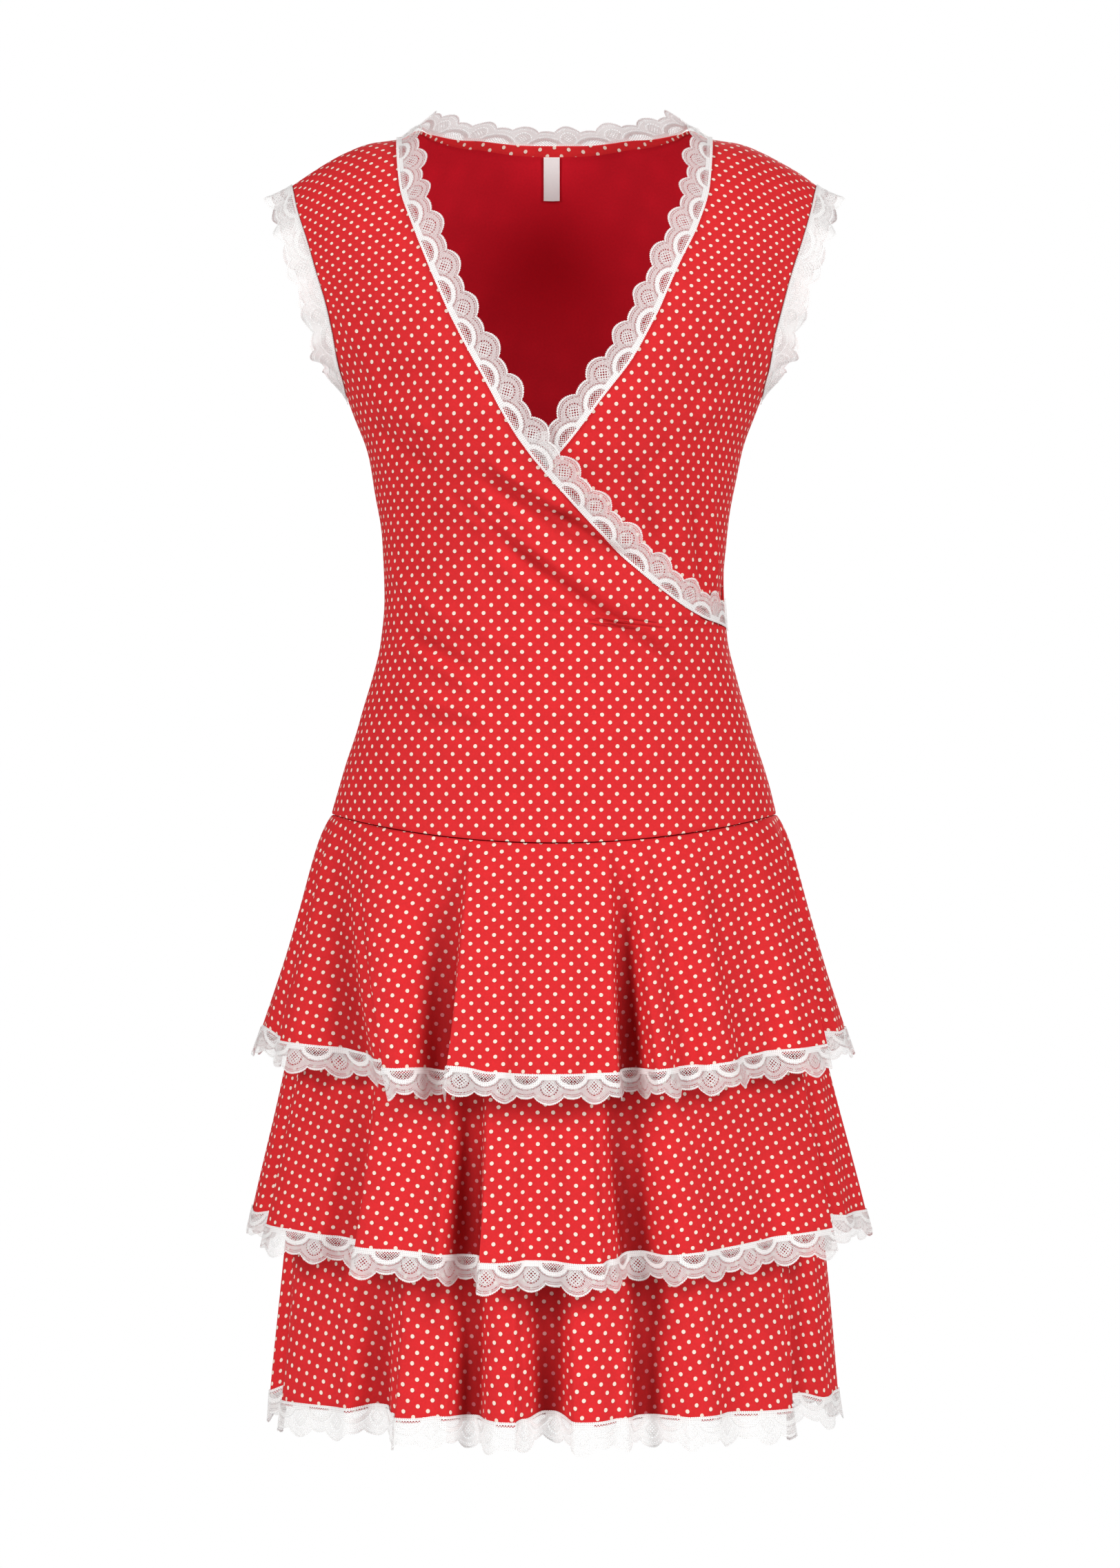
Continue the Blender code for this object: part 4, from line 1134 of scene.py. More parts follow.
@dataclass(frozen=True)
class LaceCut:
    """The scalloped edge of the lace: in each repeat one fan and one small scallop, with notches between."""

    repeat: float = 0.032
    fan_share: float = 0.62
    fan: float = 0.0188
    small: float = 0.0145
    notch: float = 0.0128
    lap: float = 0.0032
    picot: float = 0.0008
    thick: float = 0.0005
    roundness: float = 0.7
    lap_rows: int = 4

    def free(self, length: Array) -> Array:
        """Free width of the lace without its picots.

        It rises from the notches' width to the fan's and the small scallop's by half a sine to the power 0.7.

        Args:
            length: lengths along the lace in metres.

        Returns:
            Widths in metres.
        """
        place = (length / self.repeat) % 1.0
        fan = np.sin(math.pi * np.clip(place / self.fan_share, 0, 1))
        small = np.sin(math.pi * np.clip((place - self.fan_share) / (1 - self.fan_share), 0, 1))
        fan, small = fan**self.roundness, small**self.roundness
        return self.notch + (self.fan - self.notch) * fan + (self.small - self.notch) * small

    def rows(self, length: Array, count: int) -> Array:
        """Distances from the header's top edge: evenly over the lap, then evenly to the scalloped edge.

        Args:
            length: lengths along the lace in metres.
            count: rows from the lap's end to the edge.

        Returns:
            One row of distances for each row of the grid, in metres.
        """
        inside = np.linspace(0, 1, self.lap_rows)[:, None] * self.lap + 0 * length
        outside = self.lap + np.linspace(0, 1, count)[1:, None] * (self.free(length) + self.picot)
        return np.concatenate([inside, outside])


@dataclass(frozen=True)
class Frill:
    """The ways in which the free part of an armhole's lace stands.

    Each row of turned-out places gives its size, height and reach.
    """

    middle: Place = (0.19, 0.0, -0.11)
    first_share: float = 0.012
    into_hole: Range = (0.5, 1.1)
    outward: float = 0.85
    droop: Range = (-0.20, -0.35)
    shoulder_z: Range = (-0.085, -0.045)
    underarm_z: Range = (-0.140, -0.178)
    underarm_loss: float = 0.75
    turned_out: tuple[Place, ...] = ((1.0, -0.100, 0.017), (0.5, -0.155, 0.012))

    def stand(self, z: Array, away: Array, normal: Array, mirror: int) -> Array:
        """Directions of the free part: into the hole, outwards and down, and out along the cloth's normal.

        Args:
            z: heights of the edge's places, in one column.
            away: directions into the hole.
            normal: the form's normals.
            mirror: 1 for the wearer's left armhole, -1 for the right one.

        Returns:
            Unit vectors.
        """
        droop = self.droop[0] + self.droop[1] * ramp(*self.shoulder_z, z)
        outward = np.concatenate([0 * droop + self.outward * mirror, 0 * droop, droop], axis=1)
        low = ramp(*self.underarm_z, z)
        turned = sum(size * np.exp(-(((z - height) / reach) ** 2)) for size, height, reach in self.turned_out)
        inward = away * (self.into_hole[0] + self.into_hole[1] * low)
        return unit(inward + outward * (1 - self.underarm_loss * low) + normal * turned)


@dataclass(frozen=True)
class Trim:
    """Lace edgings of the hems, neck edges and armholes, each lying on the cloth that it is sewn to."""

    form: BodyForm
    edges: Edges
    drape: Drape
    bodice: Bodice
    cut: LaceCut
    frill: Frill
    lift: float = 0.0006
    armhole_lift: float = 0.0007
    corner_stand: Place = (0.80, 0.0, 0.60)
    front_corner: Range = (-0.035, -0.004)
    back_corner: Range = (0.080, 0.105)
    wave_lengths: Range = (0.041, 0.019)
    quick_wave: float = 0.35
    quick_shift: float = 1.1
    front_wave: float = 0.0004
    neck_wave: float = 0.0005
    armhole_wave: float = 0.003
    front_upward: float = 0.6
    neck_end_gap: float = 0.0004
    neck_end_z: float = 0.0015
    edge_points: int = 240
    wrap_start: float = 0.0001
    under_start_z: float = -0.236
    hem_wave: float = 0.0006
    hem_wave_length: float = 0.021
    hem_shift: Range = (1.5, 61.0)
    hem_step_deg: float = 0.05
    hem_rows: int = 13
    edge_rows: int = 14
    bend: float = 0.0006
    step: float = 0.00125
    stretch: float = 1.06

    def wall(self, name: str, inner: Array, uv: Array) -> Cloth:
        """A wall of lace whose inner side lies on the given grid."""
        normal = grid_normals(inner)
        return Cloth(name, inner + normal * self.cut.thick, inner, uv)

    def fitted(self, length: Array, stretch: float) -> Array:
        """Lengths along the lace as cut, so that whole repeats of its pattern end at both ends of an edge.

        Args:
            length: lengths along the edge in metres, from 0.
            stretch: how much the lace is drawn out, before its repeats are made whole.

        Returns:
            Lengths along the cut lace in metres.
        """
        repeats = round(length[-1] / (stretch * self.cut.repeat))
        return length * (repeats * self.cut.repeat / length[-1])

    def hem(self, name: str, flounce: Flounce, face: int) -> Cloth:
        """Lace laid on the hem's last millimetres and hanging on past it along the flounce's own flare.

        Its free part waves in and out by a sine whose place shifts by a second one.

        Args:
            name: the piece's name.
            flounce: the flounce that it is sewn to.
            face: 1 for the front, -1 for the back.

        Returns:
            The lace's wall.
        """
        fine = flounce.span(face, self.hem_step_deg)
        along = lengths(flounce.point(fine, np.ones_like(fine)))
        places = np.linspace(0, along[-1], round(along[-1] / self.step) + 1)
        angle = np.interp(places, along, fine)
        length = self.fitted(places, 1.0)
        down = self.cut.rows(length, self.hem_rows)[::-1]
        angle, drop = np.broadcast_arrays(angle, 1 + (down - self.cut.lap) / flounce.length())
        beyond = np.clip((down - self.cut.lap) / self.cut.fan, 0, 1)
        phase = 2 * math.pi * places / self.hem_wave_length
        size, turns = self.hem_shift
        wave = self.hem_wave * beyond * np.sin(phase + size * np.sin(places * turns))
        normal = flounce.normal(angle, np.minimum(drop, 1.0))
        inner = flounce.point(angle, drop) + normal * (self.lift + wave)[..., None]
        return self.wall(name, inner, np.stack([length + 0 * down, down], axis=-1))

    def frame(self, angle: Array, rise: Array, towards: Array) -> tuple[Array, Array, Array]:
        """An edge of the bodice with its directions.

        Args:
            angle: angles of the edge's places.
            rise: their rises.
            towards: a direction on the far side of the edge, which settles the sign.

        Returns:
            Points of the edge, the normals there, and the directions past the edge within the surface.
        """
        points, normal = self.form.point(angle, rise), self.form.normal(angle, rise)
        along = unit(np.gradient(points, axis=0))
        away = unit(np.cross(normal, along))
        return points, normal, away * np.sign((away * towards).sum(-1, keepdims=True))

    def spaced(self, angle: Array, rise: Array) -> tuple[Array, Array]:
        """An edge with places at even lengths.

        Args:
            angle: angles of the edge's places.
            rise: their rises.

        Returns:
            Angles and rises of the new places.
        """
        length = lengths(self.form.point(angle, rise))
        places = np.linspace(0, length[-1], round(length[-1] / self.step) + 1)
        return np.interp(places, length, angle), np.interp(places, length, rise)

    def along_edge(self, name: str, edge: Array, normal: Array, away: Array, stand: Array, lift: Array,
                   waves: float) -> Cloth:
        """Lace along an edge of the bodice.

        The lap lies on the cloth, and the free part goes on past the edge in its own direction. A wave of 41
        mm, with 0.35 times one of 19 mm, moves the free part in and out in proportion to its width. All of it
        follows the creases.

        Args:
            name: the piece's name.
            edge: points of the edge on the body's form.
            normal: the form's normals there.
            away: directions past the edge within the surface.
            stand: directions in which the free part goes on.
            lift: how far the cloth stands off the form.
            waves: size of the wave at the lace's full width.

        Returns:
            The lace's wall.
        """
        length = self.fitted(lengths(edge), self.stretch)
        stand = unit(stand)
        along = unit(np.gradient(edge, axis=0))
        out = unit(np.cross(along, stand))
        out = out * np.sign((out * normal).sum(-1, keepdims=True))
        across = self.cut.rows(length, self.edge_rows)[..., None]
        lap = np.minimum(across - self.cut.lap, self.bend)
        free = np.maximum(across - self.cut.lap - self.bend, 0)
        slow, quick = (length * 2 * math.pi / wave_length for wave_length in self.wave_lengths)
        swing = np.sin(slow) + self.quick_wave * np.sin(quick + self.quick_shift)
        share = np.clip(free / self.cut.fan, 0, 1)
        inner = edge + away * lap + stand * free + out * (waves * swing[:, None]) * share
        inner = inner + normal * (lift[:, None] + self.lift + self.drape.height(inner)[..., None])
        uv = np.stack([length + 0 * across[..., 0], across[..., 0]], axis=-1)
        side = np.cross(np.gradient(inner, axis=1), np.gradient(inner, axis=0))
        if (side * normal).sum() < 0:
            inner, uv = inner[:, ::-1], uv[:, ::-1]
        return self.wall(name, inner, uv)

    def front(self, name: str, edge: Table, mirror: int, lowest_z: float,
              lift: Callable[[Array, Array], Array]) -> Cloth:
        """Lace of a front's neck edge, up to the shoulder, where it turns inwards.

        Args:
            name: the piece's name.
            edge: the neck edge's points, for a front that goes over to the wearer's left.
            mirror: 1 for such a front, -1 for one that goes over to the wearer's right.
            lowest_z: height at which the lace starts.
            lift: how far the front stands off the body at each angle and height.

        Returns:
            The lace's wall.
        """
        top = 1 - 2 * self.bodice.seam_gap / self.form.rise_length
        rise = np.linspace(self.form.low_rise(lowest_z), top, self.edge_points)
        angle, rise = self.spaced(self.edges.neck_angles(edge, rise), rise)
        angle = mirror * angle
        points, normal, away = self.frame(angle, rise, np.array([mirror, 0.0, self.front_upward]))
        corner = ramp(*self.front_corner, points[:, 2])[:, None]
        inward = np.array([mirror, 0.0, 0.0])
        away = unit(away + (inward - away) * corner)
        stand = away + (np.array(self.corner_stand) * (mirror, 1, 1) - away) * corner
        lifts = lift(angle, points[:, 2])
        return self.along_edge(name, points, normal, away, stand, lifts, self.front_wave)

    def back_neck(self, name: str) -> Cloth:
        """Lace on the back neckline.

        It leans towards the neck all along, by as much as the fronts' lace does at its corners, so that they
        meet. Its direction turns with x from one side's corner, over the middle, to the other's.

        Args:
            name: the piece's name.

        Returns:
            The lace's wall.
        """
        edges, reach = self.edges, self.edges.neck_point_x - self.neck_end_gap
        x = np.linspace(-reach, reach, self.edge_points + 1)
        rise = np.minimum(edges.back_neck_rise(x), 1 - 2 * self.bodice.seam_gap / self.form.rise_length)
        places = np.append(edges.back_neck["x"], edges.neck_point_x)
        z = np.interp(np.abs(x), places, np.append(edges.back_neck["z"], self.neck_end_z))
        angle, rise = self.spaced(math.pi - self.form.angle_at(x, z), rise)
        points, normal, away = self.frame(angle, rise, np.array([0.0, 0.0, 1.0]))
        corner = ramp(*self.back_corner, np.abs(points[:, 0]))[:, None]
        inward = -np.sign(points[:, :1]) * np.array([1.0, 0.0, 0.0])
        away = unit(away + (inward - away) * corner)
        turn = QUARTER * points[:, 0] / reach
        leaning, upright = self.corner_stand[0], self.corner_stand[2]
        stand = np.stack([-leaning * np.sin(turn), -leaning * np.cos(turn), 0 * turn + upright], axis=-1)
        flat = np.zeros(len(points))
        return self.along_edge(name, points, normal, away, stand, flat, self.neck_wave)

    def armhole(self, name: str, mirror: int) -> Cloth:
        """Lace frill round an armhole, from the underarm up the front, over the shoulder and down the back.

        Its free part goes into the hole and outwards from the body, drooping more on the shoulder. Near the
        underarm it lies more within the hole, and round two heights it turns out along the cloth's normal, by
        e^(-q^2) with q as the distance from each.

        Args:
            name: the piece's name.
            mirror: 1 for the wearer's left armhole, -1 for the right one.

        Returns:
            The lace's wall.
        """
        lowest = self.form.low_rise(self.form.underarm_z)
        up = lowest + (1 - lowest) * np.linspace(self.frill.first_share, 1, self.edge_points) ** 2
        rise = np.concatenate([up, up[::-1]])
        front = self.edges.armhole_angles(up)
        angle, rise = self.spaced(np.concatenate([front, math.pi - front[::-1]]), rise)
        middle = np.array(self.frill.middle) * (mirror, 1, 1)
        towards = middle - self.form.point(mirror * angle, rise)
        points, normal, away = self.frame(mirror * angle, rise, towards)
        stand = self.frill.stand(points[:, 2:], away, normal, mirror)
        along = unit(np.gradient(points, axis=0))
        stand = stand - along * (stand * along).sum(-1, keepdims=True)
        lift = np.full(len(points), self.armhole_lift - self.lift)
        return self.along_edge(name, points, normal, away, stand, lift, self.armhole_wave)


@dataclass(frozen=True)
class Label:
    """Bare woven label inside the back neck, sewn at its top edge."""

    form: BodyForm
    width: float = 0.0118
    length: float = 0.030
    x: float = -0.002
    top_z: float = -0.0040
    gap: float = 0.0019
    thick: float = 0.0005
    curl: float = 0.0009
    corner_curl: float = 0.4
    column_count: int = 15
    row_count: int = 34

    def cloth(self, name: str) -> Cloth:
        """The label's wall, a little inside the back, curling in by the square of its place down its length.

        Args:
            name: the piece's name.

        Returns:
            The label's wall.
        """
        across = np.linspace(-0.5, 0.5, self.column_count)
        down = np.linspace(1, 0, self.row_count)[:, None]
        x, z = np.broadcast_arrays(self.x + self.width * across, self.top_z - self.length * down)
        angle, rise = math.pi - self.form.angle_at(x, z), self.form.rise_at(x, z)
        curled = 1 + self.corner_curl * np.cos(2 * math.pi * across)
        inset = self.gap + self.curl * (down**2) * curled
        outer = self.form.point(angle, rise) - self.form.normal(angle, rise) * inset[..., None]
        uv = np.stack([x - self.x, z - self.top_z], axis=-1)
        normal = self.form.normal(angle, rise)
        return Cloth(name, outer, outer - normal * self.thick, uv)


@dataclass(frozen=True)
class Signal:
    """A number in a node tree, whose arithmetic adds Math nodes."""

    tree: Tree
    socket: Socket

    def math(self, operation: str, *others: "Signal | float") -> "Signal":
        """Adds one Math node.

        Args:
            operation: its kind.
            others: its further inputs, after this signal.

        Returns:
            Its result.
        """
        node = self.tree.nodes.new("ShaderNodeMath")
        node.operation = operation
        for entry, value in zip(node.inputs, (self, *others)):
            feed(self.tree, entry, value)
        return Signal(self.tree, node.outputs["Value"])

    def __add__(self, other: "Signal | float") -> "Signal":
        """Sum."""
        return self.math("ADD", other)

    def __sub__(self, other: "Signal | float") -> "Signal":
        """Difference."""
        return self.math("SUBTRACT", other)

    def __mul__(self, other: "Signal | float") -> "Signal":
        """Product."""
        return self.math("MULTIPLY", other)

    def low(self, other: "Signal | float") -> "Signal":
        """The smaller of two."""
        return self.math("MINIMUM", other)

    def high(self, other: "Signal | float") -> "Signal":
        """The larger of two."""
        return self.math("MAXIMUM", other)

    def fold(self, reach: float) -> "Signal":
        """Distance from the nearest whole multiple of twice the reach."""
        return self.math("PINGPONG", reach)

    def left(self) -> "Signal":
        """One minus this."""
        return self * -1.0 + 1.0

    def step(self, low: float, high: float) -> "Signal":
        """0 below low, 1 above high, and a soft step between them.

        Args:
            low: where the step begins.
            high: where it ends.

        Returns:
            The stepped signal.
        """
        node = self.tree.nodes.new("ShaderNodeMapRange")
        node.interpolation_type = "SMOOTHSTEP"
        feed(self.tree, node.inputs["Value"], self)
        node.inputs["From Min"].default_value = low
        node.inputs["From Max"].default_value = high
        return Signal(self.tree, node.outputs["Result"])


def feed(tree: Tree, entry: Socket, value: "Signal | float") -> None:
    """Links a signal to an input, or sets the input to a number."""
    if isinstance(value, Signal):
        tree.links.new(value.socket, entry)
    else:
        entry.default_value = value


def hypotenuse(a: Signal, b: Signal) -> Signal:
    """Square root of the sum of two squares."""
    return (a * a + b * b).math("SQRT")


def ellipse(x: Signal, y: Signal, centre: tuple[float, float], reach: tuple[float, float]) -> Signal:
    """1 on an ellipse, less inside it, more outside it."""
    return hypotenuse((x - centre[0]) * (1 / reach[0]), (y - centre[1]) * (1 / reach[1]))


@dataclass(frozen=True)
class Pattern:
    """A node group that reads cloth coordinates and gives masks, shades or heights."""

    name: str
    outputs: tuple[str, ...]
    draw: Callable[[Signal, Signal, Signal], tuple[Signal, ...]]
    noise_scale: float = 620.0
    noise_detail: float = 2.0

    def tree(self) -> Tree:
        """Makes the group on first use.

        Its draw function takes both cloth coordinates in millimetres and a noise in cells of 1.6 mm.

        Returns:
            The group.
        """
        if self.name in bpy.data.node_groups:
            return bpy.data.node_groups[self.name]
        tree = bpy.data.node_groups.new(self.name, "ShaderNodeTree")
        tree.interface.new_socket("Cloth", in_out="INPUT", socket_type="NodeSocketVector")
        entry = tree.nodes.new("NodeGroupInput")
        split = tree.nodes.new("ShaderNodeSeparateXYZ")
        tree.links.new(entry.outputs["Cloth"], split.inputs["Vector"])
        noise = tree.nodes.new("ShaderNodeTexNoise")
        noise.inputs["Scale"].default_value = self.noise_scale
        noise.inputs["Detail"].default_value = self.noise_detail
        tree.links.new(entry.outputs["Cloth"], noise.inputs["Vector"])
        u, v = (Signal(tree, split.outputs[axis]) * PER_METRE for axis in "XY")
        results = self.draw(u, v, Signal(tree, noise.outputs["Fac"]))
        leave = tree.nodes.new("NodeGroupOutput")
        for label, result in zip(self.outputs, results):
            tree.interface.new_socket(label, in_out="OUTPUT", socket_type="NodeSocketFloat")
            tree.links.new(result.socket, leave.inputs[label])
        return tree


def draw_dots(u: Signal, v: Signal, noise: Signal) -> tuple[Signal, ...]:
    """Round dots in rows, each row half a pitch beside the next, with a shadow to their lower right.

    Args:
        u, v: cloth coordinates across and up, in millimetres.
        noise: fine noise, from 0 to 1.

    Returns:
        Masks of the dots and of their shadow.
    """
    pitch, row, radius = 10.75, 5.45, 1.34
    shift_right, shift_down = 0.22, 0.24
    rough = (noise - 0.5) * 0.35

    def nearest(across: Signal, up: Signal) -> Signal:
        """Distance from the nearest dot's middle, of two sets of rows."""
        even = hypotenuse(across.fold(pitch / 2), up.fold(row))
        return even.low(hypotenuse((across + pitch / 2).fold(pitch / 2), (up + row).fold(row)))

    dot = (nearest(u, v) + rough).step(radius - 0.12, radius + 0.16).left()
    shadow = nearest(u - shift_right, v + shift_down).step(radius + 0.05, radius + 0.42).left()
    return dot, shadow * dot.left()


def draw_knit(u: Signal, v: Signal, noise: Signal) -> tuple[Signal, ...]:
    """Wales of a fine jersey, each a chain of slanted stitches.

    Args:
        u, v: cloth coordinates across and up, in millimetres.
        noise: fine noise, from 0 to 1.

    Returns:
        Height of the knit, and its shade: random tone, and painted shade that darkens where the knit lies
            lower.
    """
    half_wale, half_stitch = 0.18, 0.15
    wale = u.fold(half_wale) * (1 / half_wale)
    stitch = (v + wale * 0.10).fold(half_stitch) * (1 / half_stitch)
    height = wale * 0.6 + stitch * 0.4
    # Painted shade: the knit is darker where it lies lower; the noise is random tone
    shade = height * 0.10 + noise * 0.16 + 0.80
    return height, shade


def draw_slub(u: Signal, v: Signal, noise: Signal) -> tuple[Signal, ...]:
    """Slow uneven shade of dyed viscose, from two folded waves that cross each other, and the noise.

    Args:
        u, v: cloth coordinates across and up, in millimetres.
        noise: fine noise, from 0 to 1.

    Returns:
        The shade, from 0 to 1.
    """
    half_wide, half_tall = 9.0, 13.0
    wide = (u * 0.7 + v * 0.23).fold(half_wide) * (1 / half_wide)
    tall = (v * 0.9 - u * 0.31).fold(half_tall) * (1 / half_tall)
    mixed = wide * tall * 0.5 + noise * 0.5
    return (mixed,)


def draw_painted_light(u: Signal, v: Signal, noise: Signal) -> tuple[Signal, ...]:
    """A soft field of painted light on the inside between the shoulder blades, 15 cm wide and 16 cm high."""
    return (ellipse(u, v, (0.0, 52.0), (75.0, 80.0)).step(0.15, 1.15).left(),)


def draw_lace(u: Signal, y: Signal, noise: Signal) -> tuple[Signal, ...]:
    """Scalloped lace, with y as the distance from the top of its header.

    A lens-shaped window of net sits over each small scallop, under an arched band of clothwork. A diamond of
    larger holes fills the fan's middle, an arch of holes runs over it, and a sheer ground goes on to a picot
    edge.

    Args:
        u: length along the lace, in millimetres.
        y: distance from the header's top edge, in millimetres.
        noise: fine noise, from 0 to 1.

    Returns:
        Thread cover of one side of the wall, which gives the pattern's cover once both sides are seen
        through, the height of the relief, and shade.
    """
    cut, soft, diagonal = LaceCut(), 0.18, 0.7071
    repeat, fan_width = cut.repeat * PER_METRE, cut.repeat * cut.fan_share * PER_METRE
    header_end, window_reach, band_reach = 2.0, (8.7, 5.9), (12.0, 10.0)
    diamond_y, diamond_reach = 9.6, (4.6, 5.0)
    arch_y, arch_reach = 9.8, (5.7, 6.0)
    net_pitch, cell_pitch = 1.36, 1.80
    u, y = u + (noise - 0.5) * 0.6, y + (noise - 0.5) * -0.5
    fan_x = (u - fan_width / 2).fold(repeat / 2)
    small_x = fan_x * -1.0 + repeat / 2

    def arch(x: Signal, width: float) -> Signal:
        """1 in a scallop's middle and 0 at its notches, by a cosine to a power."""
        return (x * (math.pi / width)).low(QUARTER).math("COSINE").high(0.0).math("POWER", cut.roundness)

    def lattice(x: Signal, up: Signal, pitch: float) -> Signal:
        """Distance from the nearest hole of a slanted square lattice."""
        slant = ((x + up) * diagonal).fold(pitch / 2)
        return hypotenuse(slant, ((x - up) * diagonal).fold(pitch / 2))

    def dashes(gap: Signal, half: float, along: Signal, reach: float) -> Signal:
        """A row of dashes, each as wide as twice the half and with twice the reach from one to the next."""
        line = gap.math("ABSOLUTE").step(half, half + soft).left()
        return line * along.fold(reach).step(reach * 0.3, reach * 0.5)

    # The scalloped edge, its picots and the header's
    edge = arch(fan_x, fan_width) * ((cut.fan - cut.notch) * PER_METRE)
    edge = edge + arch(small_x, repeat - fan_width) * ((cut.small - cut.notch) * PER_METRE)
    edge = edge + (cut.lap + cut.notch) * PER_METRE
    within = edge - y
    inside = (within + u.fold(0.62) * 1.1).step(0.0, 0.16)
    top = (y - (u + 0.4).fold(0.68) * 0.6).step(-0.05, 0.14)

    # Places: header, window, arched band, apex and diamond
    header = y.step(header_end - 0.15, header_end + 0.15).left()
    above = (y - header_end).high(0.0)
    window = (small_x * (1 / window_reach[0])).math("POWER", 1.8)
    window = window + (above * (1 / window_reach[1])).math("POWER", 1.8)
    in_window = window.step(0.95, 1.05).left() * header.left()
    lobes = (small_x - y * 0.8).fold(1.3) * (1 / 1.3)
    arched = ellipse(small_x, y, (0.0, 1.0), band_reach) + lobes * 0.05
    band = arched.step(0.99, 1.03).left() * in_window.left()
    apex = y.step(4.2, 4.8).left()
    diamond = (fan_x * (1 / diamond_reach[0])).math("POWER", 1.15)
    diamond = diamond + ((y - diamond_y).math("ABSOLUTE") * (1 / diamond_reach[1])).math("POWER", 1.15)
    in_diamond = diamond.step(0.98, 1.06).left() * arched.step(1.0, 1.03)
    outline = (diamond - 1.12).math("ABSOLUTE").step(0.05, 0.11).left()

    # Holes: the net, the diamond's cells, the arch over it and the lines of dashes
    net = (lattice(small_x, y - 4.2, net_pitch) + window * 0.05).step(0.48, 0.64).left()
    net = net.high(hypotenuse(small_x - 1.2, y - 5.7).step(0.45, 0.65).left()) * in_window
    cells = (lattice(fan_x, y - 9.3, cell_pitch) + diamond * 0.27).step(0.56, 0.76).left() * in_diamond
    over = (ellipse(fan_x, y, (0.0, arch_y), arch_reach) - 1.0) * 5.8
    over = hypotenuse(over, (fan_x * 0.8 - (y - arch_y) * 0.6).fold(0.85)).step(0.38, 0.58).left()
    over = over * y.step(8.8, 9.6)
    over = over * arched.step(1.03, 1.06)
    inner_line = dashes((arched - 1.09) * 9.7, 0.21, small_x - y * 0.9, 0.80) * y.step(4.5, 5.5)
    outer_line = dashes(within - 2.8, 0.19, u * 0.9 + y * 0.3, 0.75)
    last_line = dashes(within - 1.5, 0.10, u + 0.4, 0.60)
    holes = net.high(cells).high(over).high(inner_line * 0.85).high(outer_line * 0.9).high(last_line * 0.7)

    # Threads: the fine ground, the clothwork and the bumps on it
    fine = ((u + y * 1.3) * 0.8).fold(0.60).low(((u - y * 1.3) * 0.8).fold(0.60)).step(0.10, 0.30).left()
    cord = within.step(0.75, 1.05).left()
    solid = header.high(band).high(apex).high(outline * 0.9).high(cord * 0.95)
    bumps = hypotenuse(u.fold(0.7), (y + 0.4).fold(0.65)).step(0.1, 0.4).left() * solid
    cover = (fine * 0.54 + 0.30).high(solid * 0.96 - bumps * 0.30)
    cover = cover.high(in_window * 0.76).high(in_diamond * 0.74)
    cover = (cover * (holes * inside).left() * inside * top).low(1.0).left().math("SQRT").left()
    height = solid * 0.8 + noise * 1.0 - holes * 0.7 + bumps * 0.6
    shade = noise * 0.10 + bumps * -0.07 + solid * 0.03 + 0.90
    return cover, height, shade


def draw_weave(u: Signal, v: Signal, noise: Signal) -> tuple[Signal, ...]:
    """A satin label: fine cross threads, and raised selvedges.

    Args:
        u, v: cloth coordinates across and up, in millimetres.
        noise: fine noise, from 0 to 1.

    Returns:
        Height of the weave, and its shade: random tone, and painted shade that darkens where the threads lie
            lower.
    """
    half_thread = 0.11
    thread = v.fold(half_thread) * (1 / half_thread)
    rim = u.math("ABSOLUTE").step(5.2, 5.5).high((v + 0.9).math("ABSOLUTE").step(0.15, 0.4).left() * 0.8)
    # Painted shade: the threads are darker where they lie lower; the noise is random tone
    return thread * 0.4 + rim, thread * 0.04 + noise * 0.05 + 0.94


POLKA_PRINT = Pattern("polka_print", ("Dot", "Shadow"), draw_dots)
JERSEY_KNIT = Pattern("jersey_knit", ("Height", "Shade"), draw_knit)
DYED_SHADE = Pattern("dyed_shade", ("Shade",), draw_slub)
# Painted light on the inside of the back
PAINTED_LIGHT_FIELD = Pattern("painted_light_field", ("PaintedLight",), draw_painted_light)
LACE_PATTERN = Pattern("lace_pattern", ("Cover", "Height", "Shade"), draw_lace)
LABEL_WEAVE = Pattern("label_weave", ("Height", "Shade"), draw_weave)


